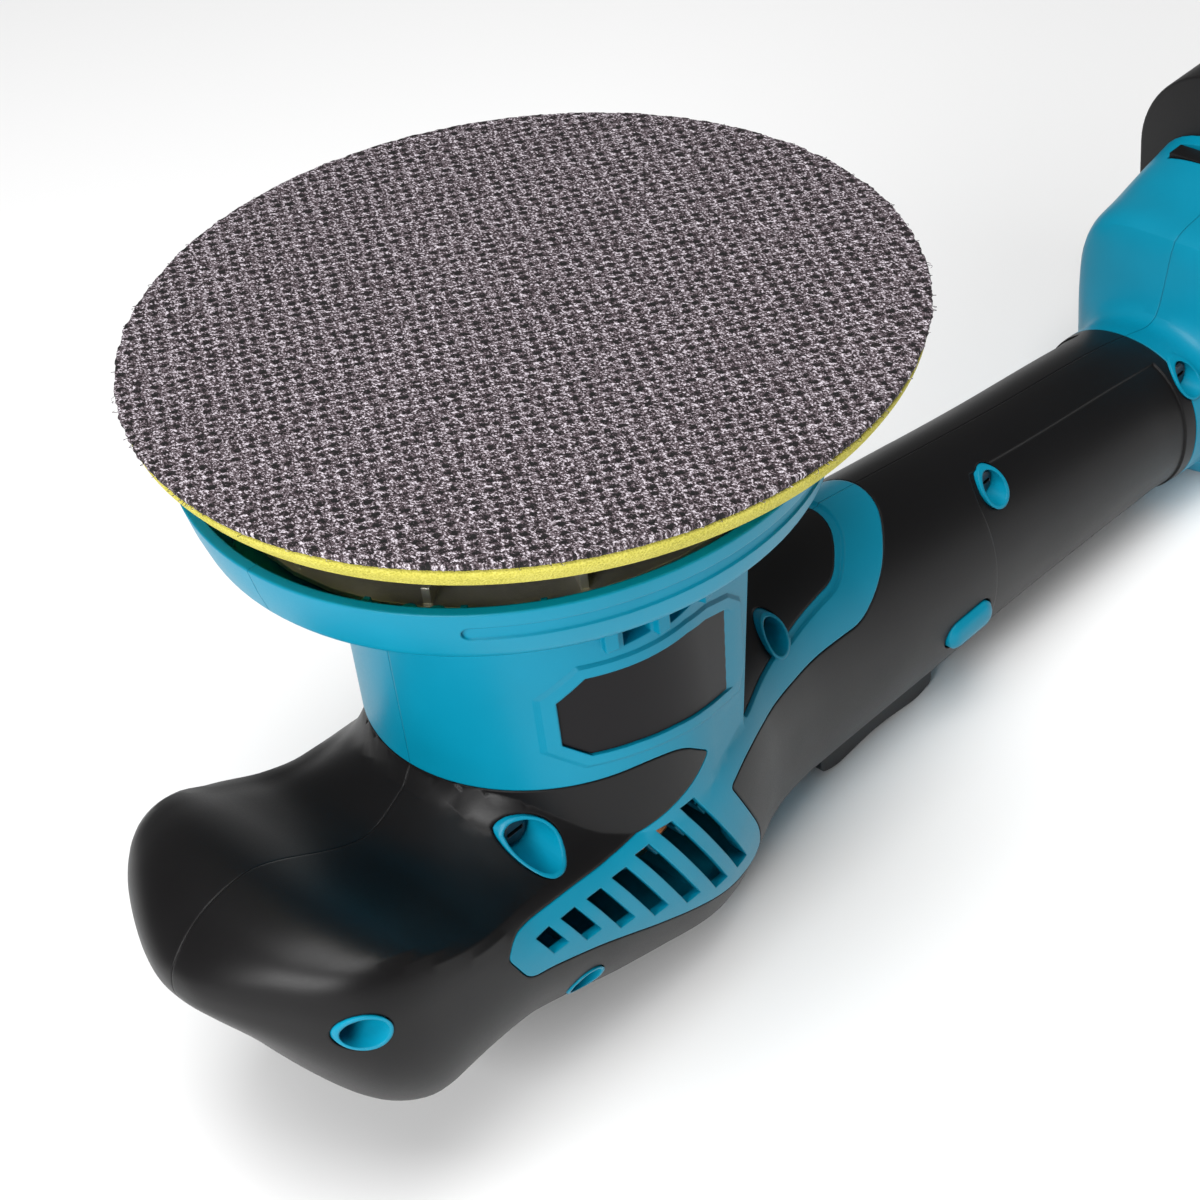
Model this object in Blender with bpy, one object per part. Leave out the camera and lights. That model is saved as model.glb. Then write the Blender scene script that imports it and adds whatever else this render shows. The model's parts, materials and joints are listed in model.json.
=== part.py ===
"""Cordless orbital sander lying on its back, sanding face up.

Built in millimetres in tool coordinates: X runs along the handle away from the nose, Y is across,
Z is height above (negative: depth below) the sanding face, and the motor axis is X = Y = 0.
place() moves every piece into the row frame, in metres, standing on Z = 0.
"""
import math

import bmesh
import bpy
from mathutils import Matrix, Vector

# ---- driving dimensions, millimetres -------------------------------------------------------
MM = 0.001
GAP = 0.3                      # running gap between neighbouring pieces
DISC_R = 75.0                  # a 150 mm disc
ORBIT = (4.0, -3.3)            # pad centre from the motor axis
DEPTH = 163.0                  # sanding face to the lowest point of the back
NOSE_X = -99.5
BATTERY_END_X = 306.0
RIM_R = 63.4                   # shroud outside radius at its rim
RIM_Z = -18.8
NECK_R = 37.5
NECK_Z = -83.3                 # where the neck meets the front grip
SKIN = 1.7                     # thickness of the soft grip layer
RING_R = 4.3                   # screw columns
WALL = 4.2                     # outside of the body to the inside of the shell
BASE_X = 258.0                 # battery seat
RING = 22                      # points round a body section

SHIFT = Vector((-(NOSE_X + BATTERY_END_X) / 2, -ORBIT[1], DEPTH))

# body sections: x, top, bottom, widest height, half width, upper and lower roundness
SECTIONS = (
    (NOSE_X, -91.0, -96.5, -94.0, 4.0, 2.6, 2.4),
    (-97.0, -87.5, -100.5, -94.0, 12.0, 2.7, 2.5),
    (-93.0, -84.0, -106.0, -95.0, 20.5, 2.8, 2.8),
    (-87.0, -81.3, -118.0, -97.0, 30.0, 2.9, 3.0),
    (-79.0, -80.3, -130.0, -99.0, 37.0, 2.9, 3.4),
    (-70.0, -83.8, -137.0, -101.0, 38.5, 4.0, 3.2),
    (-60.0, -89.5, -142.0, -104.0, 38.5, 4.0, 2.4),
    (-50.0, -93.0, -143.0, -106.0, 38.0, 2.8, 2.2),
    (-42.0, -88.5, -143.0, -107.0, 37.5, 1.7, 2.2),
    (-34.0, -84.5, -144.5, -108.0, 37.7, 1.6, 2.3),
    (-20.0, -85.0, -150.0, -110.0, 38.2, 1.9, 2.3),
    (0.0, -85.5, -156.5, -112.0, 38.5, 2.4, 2.3),
    (12.0, -86.5, -161.0, -113.0, 37.5, 2.8, 2.3),
    (20.0, -87.0, -163.0, -114.0, 35.5, 2.7, 2.2),
    (28.0, -88.0, -160.5, -115.0, 32.5, 2.6, 2.2),
    (36.0, -88.5, -156.5, -117.0, 29.0, 2.5, 2.2),
    (46.0, -89.5, -154.5, -119.0, 26.0, 2.4, 2.2),
    (58.0, -91.0, -155.0, -121.0, 23.5, 2.2, 2.2),
    (75.0, -93.0, -156.0, -123.0, 22.0, 2.0, 2.2),
    (100.0, -97.0, -156.0, -126.0, 21.5, 1.95, 2.2),
    (145.0, -104.5, -155.5, -129.5, 21.0, 1.95, 2.2),
    (190.0, -111.0, -156.0, -133.5, 21.0, 2.0, 2.2),
    (205.0, -114.5, -157.0, -134.5, 22.0, 2.2, 2.2),
    (211.5, -116.0, -157.5, -135.0, 22.2, 2.2, 2.2),
    (215.0, -115.0, -158.5, -135.0, 22.8, 2.4, 2.4),
    (217.5, -109.9, -160.5, -134.0, 24.8, 3.0, 3.0),
    (220.0, -102.5, -162.0, -132.5, 27.0, 3.8, 3.6),
    (222.4, -96.8, -163.0, -131.0, 28.6, 4.6, 4.0),
    (226.0, -95.4, -163.0, -130.0, 29.4, 4.8, 4.2),
    (235.0, -94.2, -163.0, -128.5, 30.3, 4.6, 4.2),
    (246.0, -91.0, -163.0, -127.0, 31.0, 4.2, 4.2),
    (BASE_X, -88.0, -163.0, -126.0, 31.5, 4.0, 4.0),
)

# soft collar that the front grip makes round the foot of the neck: height falls with distance
COLLAR = (
    (0.0, -82.6), (37.5, -82.9), (38.8, -86.5), (41.0, -90.5), (45.0, -95.5), (52.0, -102.0), (400.0, -400.0),
)

# side outlines (x, z) of the soft areas and of the painted teal shapes between them
NOSE_GRIP = (
    (-115, -70), (-44, -70), (-44, -83.3), (-8, -83.3), (0, -85.3), (8, -92.5), (3, -96), (-3, -98.3), (-10, -100.2),
    (-20, -101.4), (-38, -101), (-47.5, -100), (-51, -102.5), (-46.3, -112), (-40, -113.8),
    (-25, -119), (-7, -128), (9, -135), (20, -138), (25, -140), (25, -175), (-115, -175),
)
HANDLE_GRIP = (
    (12.6, -106), (18.5, -104.2), (26, -104.1), (35, -105.5), (45, -107), (55, -108.3), (66, -110.2),
    (73.5, -111.4), (80, -109), (86, -105.5), (91, -101.5), (96, -98), (99, -94), (99, -75),
    (202, -75), (202, -175), (122, -175), (122, -149), (46, -149), (46, -175), (28, -175),
    (27, -139), (23.5, -127.5), (17, -115),
)
ARCH_PANEL = (
    (24.7, -99.7), (34, -99.9), (42, -100), (49.5, -100.3), (64, -100.8), (71.6, -101.2),
    (77.6, -98), (82, -95.6), (85.5, -92), (85.5, -75), (28.3, -75),
)
# grille slots: middle of the upper end, upper and lower heights
SLOTS = (
    (-41.0, -104.0, -110.5), (-34.0, -104.4, -113.7), (-27.0, -104.6, -117.7), (-20.0, -104.3, -122.0),
    (-13.2, -103.4, -126.3), (-6.6, -102.0, -129.8), (-0.3, -100.2, -130.4),
)
SLOT_LEAN = 0.53
SLOT_W = 4.0
# housing screws: name, x, z, head seat
SCREWS = (
    ("screw_neck", -31.6, -93.3, -19.0),
    ("screw_nose", -83.0, -97.5, -24.0),
    ("screw_tail", -29.5, -129.5, -22.0),
    ("screw_root", 47.0, -97.8, -12.0),
    ("screw_handle", 128.5, -110.0, -9.5),
    ("screw_base", 204.0, -121.0, -12.0),
)
BADGE = (
    (-23.4, -62.0), (-18.4, -57.6), (-8.0, -58.6), (4.5, -59.6), (11.0, -61.2), (18.5, -64.6), (22.6, -68.7),
    (24.0, -80.0), (20.6, -85.8), (8.0, -81.6), (-1.0, -79.2), (-10.0, -77.6), (-18.9, -76.6), (-23.4, -72.6),
)

TEAL = (0.006, 0.290, 0.420)
BLACK = (0.018, 0.017, 0.018)


# ---- helpers --------------------------------------------------------------------------------
def clear():
    for obj in list(bpy.data.objects):
        bpy.data.objects.remove(obj, do_unlink=True)


def material(name, color, rough, metal):
    mat = bpy.data.materials.new(name)
    mat.use_nodes = True
    shader = mat.node_tree.nodes["Principled BSDF"]
    shader.inputs["Base Color"].default_value = (*color, 1.0)
    shader.inputs["Roughness"].default_value = rough
    shader.inputs["Metallic"].default_value = metal
    return mat


def make(name, verts, faces):
    mesh = bpy.data.meshes.new(name)
    mesh.from_pydata([Vector(v) * MM for v in verts], [], faces)
    obj = bpy.data.objects.new(name, mesh)
    bpy.context.scene.collection.objects.link(obj)
    bm = bmesh.new()
    bm.from_mesh(mesh)
    bmesh.ops.recalc_face_normals(bm, faces=bm.faces)
    bm.to_mesh(mesh)
    bm.free()
    return obj


def skin_rings(name, rings):
    """Closed solid through rings of equal point count."""
    n = len(rings[0])
    verts = [p for ring in rings for p in ring]
    faces = [tuple(range(n))[::-1]]
    for i in range(len(rings) - 1):
        for j in range(n):
            k = (j + 1) % n
            faces.append((i * n + j, i * n + k, (i + 1) * n + k, (i + 1) * n + j))
    last = (len(rings) - 1) * n
    faces.append(tuple(range(last, last + n)))
    obj = make(name, verts, faces)
    bm = bmesh.new()
    bm.from_mesh(obj.data)
    bmesh.ops.triangulate(bm, faces=bm.faces)
    bm.to_mesh(obj.data)
    bm.free()
    return obj


def lookup(table, at):
    for (a, u), (b, v) in zip(table, table[1:]):
        if at <= b:
            return u + (v - u) * (at - a) / (b - a)
    return table[-1][1]


def section(row, inset):
    x, top, bottom, mid, half, up, down = row
    top, bottom, half = top - inset, bottom + inset, half - inset
    ring = []
    for i in range(RING):
        a = 2 * math.pi * i / RING
        c, s = math.cos(a), math.sin(a)
        power = up if s >= 0 else down
        y = math.copysign(abs(c) ** (2 / power), c) * half
        reach = (top - mid) if s >= 0 else (mid - bottom)
        z = mid + math.copysign(abs(s) ** (2 / power), s) * reach
        if s > 0.1 and x < 14.0:
            collar = lookup(COLLAR, math.hypot(x, y) + 0.7 * inset) - 0.7 * inset
            z = max(z, z + (collar - z) * min(1.0, max(0.0, (s - 0.55) / 0.35)))
        ring.append((x, y, z))
    return ring


def body(name, inset=0.0, end=BASE_X):
    rings = []
    for row in SECTIONS:
        x = row[0] + inset * min(1.0, max(0.0, (-60.0 - row[0]) / 39.5))
        if inset and row[0] in (NOSE_X, -97.0):
            continue
        rings.append(section((min(x, end), *row[1:]), inset))
    return skin_rings(name, rings)


def lathe(name, profile, segments, center=(0.0, 0.0), axis="Z", at=0.0):
    """Revolve (radius, height) points; a profile that touches radius 0 closes on the axis."""
    rings = []
    for r, h in profile:
        ring = []
        for i in range(segments):
            a = 2 * math.pi * i / segments
            u, v = r * math.cos(a), r * math.sin(a)
            if axis == "Z":
                ring.append((center[0] + u, center[1] + v, h + at))
            else:
                ring.append((center[0] + u, h + at, center[1] + v))
        rings.append(ring)
    solid = profile[0][0] == 0.0
    verts = []
    faces = []
    index = []
    for (r, h), ring in zip(profile, rings):
        if r == 0.0:
            index.append([len(verts)] * segments)
            verts.append(ring[0])
        else:
            index.append(list(range(len(verts), len(verts) + segments)))
            verts.extend(ring)
    pairs = list(zip(index, index[1:]))
    if not solid:
        pairs.append((index[-1], index[0]))
    for low, high in pairs:
        for j in range(segments):
            k = (j + 1) % segments
            face = []
            for v in (low[j], low[k], high[k], high[j]):
                if v not in face:
                    face.append(v)
            if len(face) > 2:
                faces.append(tuple(face))
    return make(name, verts, faces)


def rod(name, r, h0, h1, segments, center=(0.0, 0.0), axis="Z"):
    return lathe(name, ((0.0, h0), (r, h0), (r, h1), (0.0, h1)), segments, center, axis)


def prism(name, outline, y0, y1):
    """Side outline (x, z) swept across the tool."""
    return skin_rings(name, [[(x, y0, z) for x, z in outline], [(x, y1, z) for x, z in outline]])


def plan(name, outline, z0, z1):
    return skin_rings(name, [[(x, y, z0) for x, y in outline], [(x, y, z1) for x, y in outline]])


def box(name, x0, x1, y0, y1, z0, z1):
    return plan(name, ((x0, y0), (x1, y0), (x1, y1), (x0, y1)), z0, z1)


def combine(obj, tool, how):
    mod = obj.modifiers.new("cut", "BOOLEAN")
    mod.operation = how
    mod.solver = "MANIFOLD"      # the exact solver leaves open edges where the shell meets its ribs
    mod.object = tool
    graph = bpy.context.evaluated_depsgraph_get()
    mesh = bpy.data.meshes.new_from_object(obj.evaluated_get(graph))
    obj.modifiers.clear()
    obj.data = mesh
    bpy.data.objects.remove(tool, do_unlink=True)
    return obj


def cut(obj, tool):
    return combine(obj, tool, "DIFFERENCE")


def add(obj, tool):
    return combine(obj, tool, "UNION")


def keep(obj, tool):
    return combine(obj, tool, "INTERSECT")


def clone(obj, name):
    twin = bpy.data.objects.new(name, obj.data.copy())
    bpy.context.scene.collection.objects.link(twin)
    return twin


def shrink(outline, by):
    """Offset a closed outline inwards by moving each corner along its bisector."""
    area = sum(a[0] * b[1] - b[0] * a[1] for a, b in zip(outline, outline[1:] + outline[:1]))
    turn = 1.0 if area > 0 else -1.0
    out = []
    n = len(outline)
    for i, p in enumerate(outline):
        a = Vector(p) - Vector(outline[i - 1])
        b = Vector(outline[(i + 1) % n]) - Vector(p)
        na = Vector((-a.y, a.x)).normalized() * turn
        nb = Vector((-b.y, b.x)).normalized() * turn
        mid = (na + nb).normalized()
        out.append(tuple(Vector(p) + mid * (by / max(0.4, mid.dot(na)))))
    return tuple(out)


def place(obj, mat, origin=None, smooth=math.radians(40)):
    """Move to the row frame, put the origin on the joint, tidy the mesh and give the material."""
    pivot = (Vector(origin) + SHIFT) * MM if origin else Vector((0.0, 0.0, 0.0))
    bm = bmesh.new()
    bm.from_mesh(obj.data)
    bmesh.ops.remove_doubles(bm, verts=bm.verts, dist=0.00002)
    bmesh.ops.dissolve_degenerate(bm, edges=bm.edges, dist=0.00001)
    bmesh.ops.dissolve_limit(bm, angle_limit=math.radians(0.6), verts=bm.verts, edges=bm.edges)
    bmesh.ops.transform(bm, matrix=Matrix.Translation(SHIFT * MM - pivot), verts=bm.verts)
    bmesh.ops.recalc_face_normals(bm, faces=bm.faces)
    for face in bm.faces:
        face.smooth = True
    bm.to_mesh(obj.data)
    bm.free()
    obj.data.set_sharp_from_angle(angle=smooth)
    obj.location = pivot
    obj.data.materials.clear()
    obj.data.materials.append(mat)
    return obj


# ---- housing --------------------------------------------------------------------------------
def neck(name, grow=0.0):
    """Round neck with a straight-sided root towards the handle, swept through four heights."""
    rings = []
    for z, rear in ((-104.0, 24.0), (-90.0, 26.0), (-60.0, 30.2), (-32.6, 34.0)):
        ring = []
        for i in range(15):
            a = math.radians(74 + 212 * i / 14)
            ring.append(((NECK_R + grow) * math.cos(a), (NECK_R + grow) * math.sin(a), z))
        for x, y in ((rear - 2.5, -31.8), (rear, -30.0), (rear + 1.0, -10), (rear + 1.0, 10), (rear, 30.0)):
            ring.append((x + grow, y - math.copysign(-grow, y), z))
        ring.append((rear - 2.5 + grow, 31.8 + grow, z))
        rings.append(ring)
    return skin_rings(name, rings)


def shroud(name):
    profile = ((0.0, -47.0), (36.9, -47.0), (38.2, -41.0), (41.0, -36.5), (48.0, -33.4), (57.5, -31.9),
               (60.0, -30.8), (61.2, -28.6), (62.6, -23.5), (RIM_R, RIM_Z), (0.0, RIM_Z))
    return lathe(name, profile, 44)


def envelope():
    outer = body("envelope")
    add(outer, neck("neck"))
    add(outer, shroud("shroud"))
    return outer


def posts(name, radius, far):
    """Screw columns from the right-hand side to y = far."""
    return [rod(name, radius, -70.0, far, 12, (x, z), "Y") for _, x, z, _ in SCREWS]


def soft_room(name, outline):
    """Room for one soft area: inside the outline, outside the inset body, clear of the screw columns."""
    mask = prism(name, outline, -92.0, 92.0)
    cut(mask, body("inner", SKIN))
    for post in posts("column", RING_R, -10.0):
        cut(mask, post)
    if outline is NOSE_GRIP:
        cut(mask, rod("neck_core", 36.0, -110.0, -60.0, 28))
    if outline is ARCH_PANEL:
        cut(mask, neck("neck_keep"))
    return mask


def hollow():
    """The inside of the housing: body, motor well and shroud, less the ribs and columns left standing."""
    room = body("room", WALL, BASE_X - 12.0)
    well = rod("well", 34.2, -112.0, -29.0, 28)
    # the neck keeps its flat rear wall
    cut(well, prism("rear_wall", ((26.0, -87.5), (26.0, -84.0), (29.4, -60.0), (32.4, -38.0), (44.0, -38.0), (44.0, -87.5)), -40.0, 40.0))
    add(room, well)
    add(room, lathe("dish", ((0.0, -30.0), (34.6, -30.1), (56.8, -28.2), (59.2, -26.0), (60.7, RIM_Z + 2),
                             (60.7, RIM_Z + 8), (0.0, RIM_Z + 8)), 44))
    for post in posts("column", RING_R - 0.2, 70.0):
        cut(room, post)
    for z0, z1 in ((-91.0, -87.0), (-112.0, -108.0)):
        cut(room, lathe("saddle", ((25.8, z0), (50.0, z0), (50.0, z1), (25.8, z1)), 24))
    seat = box("seat", -45.0, 45.0, -45.0, 45.0, -139.0, -133.0)
    cut(seat, rod("bore", 11.3, -145.0, -130.0, 20))
    cut(room, seat)
    return room


def shell(outer):
    """Both halves of the teal housing before they are split."""
    whole = clone(outer, "housing")
    cut(whole, soft_room("nose", NOSE_GRIP))
    cut(whole, soft_room("handle", HANDLE_GRIP))
    cut(whole, soft_room("panel", ARCH_PANEL))
    cut(whole, hollow())
    for sx, z_top, z_low in SLOTS:
        lean = (z_top - z_low) * SLOT_LEAN
        outline = ((sx - SLOT_W / 2, z_top), (sx + SLOT_W / 2, z_top), (sx + SLOT_W / 2 + lean, z_low),
                   (sx - SLOT_W / 2 + lean, z_low))
        for y0, y1 in ((-60.0, -26.5), (26.5, 60.0)):
            cut(whole, prism("slot", outline, y0, y1))
    badge_room = prism("badge_room", BADGE, -92.0, 92.0)
    cut(badge_room, neck("neck_core", -1.6))
    cut(whole, badge_room)
    # trigger mouth, dial slot, battery rail slot and terminal pocket
    cut(whole, box("trigger_mouth", 69.0, 113.0, -9.2, 9.2, -170.0, -148.0))
    cut(whole, box("dial_slot", 166.0, 190.0, -3.8, 3.8, -170.0, -146.0))
    cut(whole, box("rail_neck", BASE_X - 4.0, BASE_X + 5.0, -14.3, 14.3, -151.0, -70.0))
    cut(whole, box("rail_head", BASE_X - 9.5, BASE_X - 3.5, -20.3, 20.3, -151.0, -70.0))
    cut(whole, box("terminal_room", BASE_X - 9.0, BASE_X - 3.8, -19.5, 19.5, -158.0, -150.0))
    return whole


def housing_half(name, whole, side):
    low, high = (-90.0, -GAP / 2) if side < 0 else (GAP / 2, 90.0)
    half = clone(whole, name)
    keep(half, box("side", -130, 300, low, high, -200, 5))
    # screw bores: clearance and head room on one side, pilot hole on the other
    for _, x, z, seat_y in SCREWS:
        if side < 0:
            cut(half, rod("bore", 1.8, seat_y - 1.0, 5.0, 8, (x, z), "Y"))
            cut(half, rod("head_room", 3.4, -80.0, seat_y, 12, (x, z), "Y"))
        else:
            cut(half, rod("pilot", 1.8, -5.0, 13.0, 8, (x, z), "Y"))
    if side < 0:
        cut(half, plan_slot("lock_bore", 111.0, -136.5, 8.3, 3.8, -40.0, -12.0))
    return half


def plan_slot(name, x, z, half_x, half_z, y0, y1):
    """Stadium outline swept across the tool."""
    outline = []
    for i in range(12):
        a = 2 * math.pi * (i + 0.5) / 12
        cx = math.copysign(half_x - half_z, math.cos(a))
        outline.append((x + cx + half_z * math.cos(a), z + half_z * math.sin(a)))
    return prism(name, outline, y0, y1)


def grip(name, outer, outline, side, holes=()):
    low, high = (-90.0, -GAP / 2) if side < 0 else (GAP / 2, 90.0)
    piece = prism(name, shrink(outline, GAP), low, high)
    keep(piece, clone(outer, "limit"))
    cut(piece, body("inner", SKIN - GAP))
    for x, z in holes if side < 0 else ():
        cut(piece, rod("ring_gap", RING_R + GAP, low, high, 12, (x, z), "Y"))
    return piece


def build_housing(mats):
    outer = envelope()
    whole = shell(outer)
    pieces = []
    near = [(x, z) for _, x, z, _ in SCREWS]
    for word, side in (("right", -1), ("left", 1)):
        half = housing_half(word + "_housing", whole, side)
        pieces.append(place(half, mats["teal_" + word]))
        nose = grip(word + "_nose_grip", outer, NOSE_GRIP, side, near[:3])
        cut(nose, rod("neck_core", 36.0 + GAP, -110.0, -60.0, 28))
        pieces.append(place(nose, mats["grip_nose_" + word]))
        handle = grip(word + "_handle_grip", outer, HANDLE_GRIP, side, near[4:])
        cut(handle, box("dial_slot", 165.7, 190.3, -4.1, 4.1, -170.0, -146.0))
        if side < 0:
            cut(handle, plan_slot("lock_gap", 111.0, -136.5, 8.6, 4.1, -40.0, -10.0))
        pieces.append(place(handle, mats["grip_handle_" + word]))
        panel = grip(word + "_arch_panel", outer, ARCH_PANEL, side, near[3:4])
        cut(panel, neck("neck_gap", GAP))
        cut(panel, box("under_shroud", -80, 66, -90, 90, -78, 0))
        pieces.append(place(panel, mats["panel_" + word]))
        low, high = (-90.0, -GAP) if side < 0 else (GAP, 90.0)
        badge = prism(word + "_badge", shrink(BADGE, GAP), low, high)
        keep(badge, neck("neck_face", -0.3))
        cut(badge, neck("neck_core", -1.6 + GAP))
        pieces.append(place(badge, mats["badge_" + word]))
    bpy.data.objects.remove(outer, do_unlink=True)
    bpy.data.objects.remove(whole, do_unlink=True)
    return pieces


# ---- moving parts and internals ---------------------------------------------------------------
def build_pad(mats):
    ex, ey = ORBIT
    home = (ex, ey, 0.0)
    disc = rod("sanding_disc", DISC_R, -1.3, 0.0, 56, ORBIT)
    place(disc, mats["abrasive"], home)
    foam = lathe("foam_pad", ((9.0, -1.6), (73.5, -1.6), (74.1, -2.3), (72.3, -6.0), (71.2, -6.8),
                              (60.0, -9.4), (9.0, -9.4)), 44, ORBIT)
    place(foam, mats["foam"], home)
    plate = lathe("backing_plate", ((4.3, -9.7), (58.0, -9.7), (58.0, -11.2), (22.0, -12.8),
                                    (20.0, -15.5), (4.3, -15.5)), 32, ORBIT)
    place(plate, mats["plate"], home)
    washer = lathe("pad_washer", ((4.3, -9.4), (8.4, -9.4), (8.4, -8.2), (4.3, -8.2)), 16, ORBIT)
    place(washer, mats["washer"], home)
    bolt = lathe("pad_bolt", ((0.0, -30.0), (3.9, -30.0), (3.9, -7.9), (6.3, -7.9), (6.3, -3.4), (0.0, -3.4)),
                 16, ORBIT)
    cut(bolt, rod("socket", 3.0, -6.5, 0.0, 6, ORBIT))
    place(bolt, mats["bolt"], home)
    spindle = lathe("pad_spindle", ((0.0, -39.0), (7.5, -39.0), (7.5, -19.0), (12.0, -18.5), (12.0, -15.8),
                                    (4.2, -15.8), (4.2, -31.5), (0.0, -31.5)), 18, ORBIT)
    place(spindle, mats["spindle"], home)


def bearing(name, inner, outer_r, z0, z1, center, mat, origin):
    step = (outer_r - inner) * 0.32
    profile = ((inner, z0), (inner + step, z0), (inner + step, z0 + 0.7), (outer_r - step, z0 + 0.7),
               (outer_r - step, z0), (outer_r, z0), (outer_r, z1), (outer_r - step, z1),
               (outer_r - step, z1 - 0.7), (inner + step, z1 - 0.7), (inner + step, z1), (inner, z1))
    place(lathe(name, profile, 16, center), mat, origin)


def arc_plan(r0, r1, a0, a1, steps):
    outer = [(r1 * math.cos(a0 + (a1 - a0) * i / steps), r1 * math.sin(a0 + (a1 - a0) * i / steps))
             for i in range(steps + 1)]
    inner = [(r0 * math.cos(a1 - (a1 - a0) * i / steps), r0 * math.sin(a1 - (a1 - a0) * i / steps))
             for i in range(steps + 1)]
    return outer + inner


def build_drive(mats):
    ex, ey = ORBIT
    axis = (0.0, 0.0, 0.0)
    bearing("pad_bearing_outer", 7.8, 14.0, -27.6, -19.8, ORBIT, mats["race_1"], (ex, ey, 0.0))
    bearing("pad_bearing_inner", 7.8, 14.0, -36.2, -28.0, ORBIT, mats["race_2"], (ex, ey, 0.0))
    hub = lathe("eccentric_hub", ((0.0, -54.0), (9.5, -54.0), (9.5, -45.0), (24.0, -42.5), (24.0, -29.2),
                                  (27.0, -29.0), (27.0, -27.0), (24.0, -26.8), (24.0, -19.6), (0.0, -19.6)), 28)
    cut(hub, rod("pocket", 14.4, -39.6, -10.0, 20, ORBIT))
    cut(hub, rod("socket", 5.3, -60.0, -42.0, 16))
    place(hub, mats["hub"], axis)
    back = math.atan2(-ey, -ex)
    weight = plan("counterweight", arc_plan(24.3, 48.0, back - 1.0, back + 1.0, 14), -20.9, -16.3)
    place(weight, mats["weight"], axis)
    fan = lathe("fan", ((24.3, -26.4), (54.0, -26.0), (54.0, -24.8), (24.3, -24.8)), 36)
    for i in range(12):
        a = 2 * math.pi * i / 12
        blade = box("blade", 30.0, 53.0, -0.8, 0.8, -25.4, -21.4)
        blade.data.transform(Matrix.Rotation(a, 4, "Z"))
        add(fan, blade)
    place(fan, mats["fan"], axis)
    shaft = lathe("motor_shaft", ((0.0, -146.0), (4.4, -146.0), (5.0, -145.4), (5.0, -43.0), (4.4, -42.4),
                                  (0.0, -42.4)), 16)
    place(shaft, mats["shaft"], axis)
    bearing("front_bearing", 5.3, 13.0, -67.0, -58.0, (0.0, 0.0), mats["race_3"], axis)
    bearing("tail_bearing", 5.3, 11.0, -139.3, -132.0, (0.0, 0.0), mats["race_4"], axis)
    rotor = lathe("rotor", ((5.3, -118.0), (13.2, -118.0), (13.2, -82.0), (5.3, -82.0)), 20)
    place(rotor, mats["rotor"], axis)
    stator = lathe("stator_core", ((13.8, -116.0), (25.5, -116.0), (25.5, -84.0), (13.8, -84.0)), 24)
    for i in range(6):
        slot = box("slot", 12.0, 21.5, -3.2, 3.2, -120.0, -80.0)
        slot.data.transform(Matrix.Rotation(2 * math.pi * i / 6, 4, "Z"))
        cut(stator, slot)
    place(stator, mats["core"])
    for name, z0, z1 in (("winding_front", -83.7, -76.5), ("winding_tail", -123.5, -116.3)):
        mid = (z0 + z1) / 2
        ring = lathe(name, ((14.6, z0), (23.6, z0), (24.6, mid), (22.6, z1), (15.6, z1)) if z0 > -100 else
                     ((15.6, z0), (22.6, z0), (24.6, mid), (23.6, z1), (14.6, z1)), 20)
        place(ring, mats[name])
    plate = lathe("bearing_plate", ((13.3, -67.2), (17.0, -67.2), (17.0, -62.0), (33.9, -62.0), (33.9, -58.5),
                                    (13.3, -58.5)), 28)
    for a in (45, 135, 225, 315):
        x, y = 26.0 * math.cos(math.radians(a)), 26.0 * math.sin(math.radians(a))
        cut(plate, rod("vent", 4.5, -70.0, -50.0, 8, (x, y)))
    cut(plate, box("plate_flat", 28.8, 40.0, -40.0, 40.0, -70.0, -50.0))
    place(plate, mats["end_plate"])


def build_controls(mats):
    switch = box("switch_body", 76.0, 106.0, -9.5, 9.5, -141.0, -120.0)
    add(switch, box("plunger_guide", 86.0, 96.0, -4.0, 4.0, -143.5, -140.0))
    place(switch, mats["switch"])
    trigger = prism("trigger", ((70.5, -161.0), (76.0, -162.2), (90.0, -160.6), (106.0, -162.2), (111.5, -161.0),
                                (111.5, -150.0), (70.5, -150.0)), -8.6, 8.6)
    add(trigger, box("stem", 86.5, 95.5, -3.4, 3.4, -151.0, -148.6))
    place(trigger, mats["trigger"], (91.0, 0.0, -156.0))
    turns, steps, wire = 3, 8, 0.45
    rings = []
    for i in range(turns * steps + 1):
        a = 2 * math.pi * i / steps
        z = -148.1 + 4.1 * i / (turns * steps)
        rings.append([(91.0 + (2.6 + wire * math.cos(b)) * math.cos(a), (2.6 + wire * math.cos(b)) * math.sin(a),
                       z + wire * math.sin(b)) for b in (0.3, 1.87, 3.44, 5.01)])
    place(skin_rings("trigger_spring", rings), mats["spring"])
    button = plan_slot("lock_button", 111.0, -136.5, 8.0, 3.5, -22.6, -14.0)
    place(button, mats["lock"], (111.0, -18.0, -136.5))
    dial = lathe("speed_dial", ((0.0, -3.4), (10.0, -3.4), (10.8, -2.6), (10.8, 2.6), (10.0, 3.4), (0.0, 3.4)),
                 22, (178.0, -147.0), "Y")
    place(dial, mats["dial"], (178.0, 0.0, -147.0))
    board = box("controller_board", 122.0, 160.0, -13.0, 13.0, -134.0, -132.4)
    add(board, box("heat_sink", 126.0, 146.0, -9.0, 9.0, -132.8, -121.0))
    add(board, box("capacitor", 149.0, 157.0, -8.0, 8.0, -132.8, -124.0))
    place(board, mats["board"])


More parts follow.
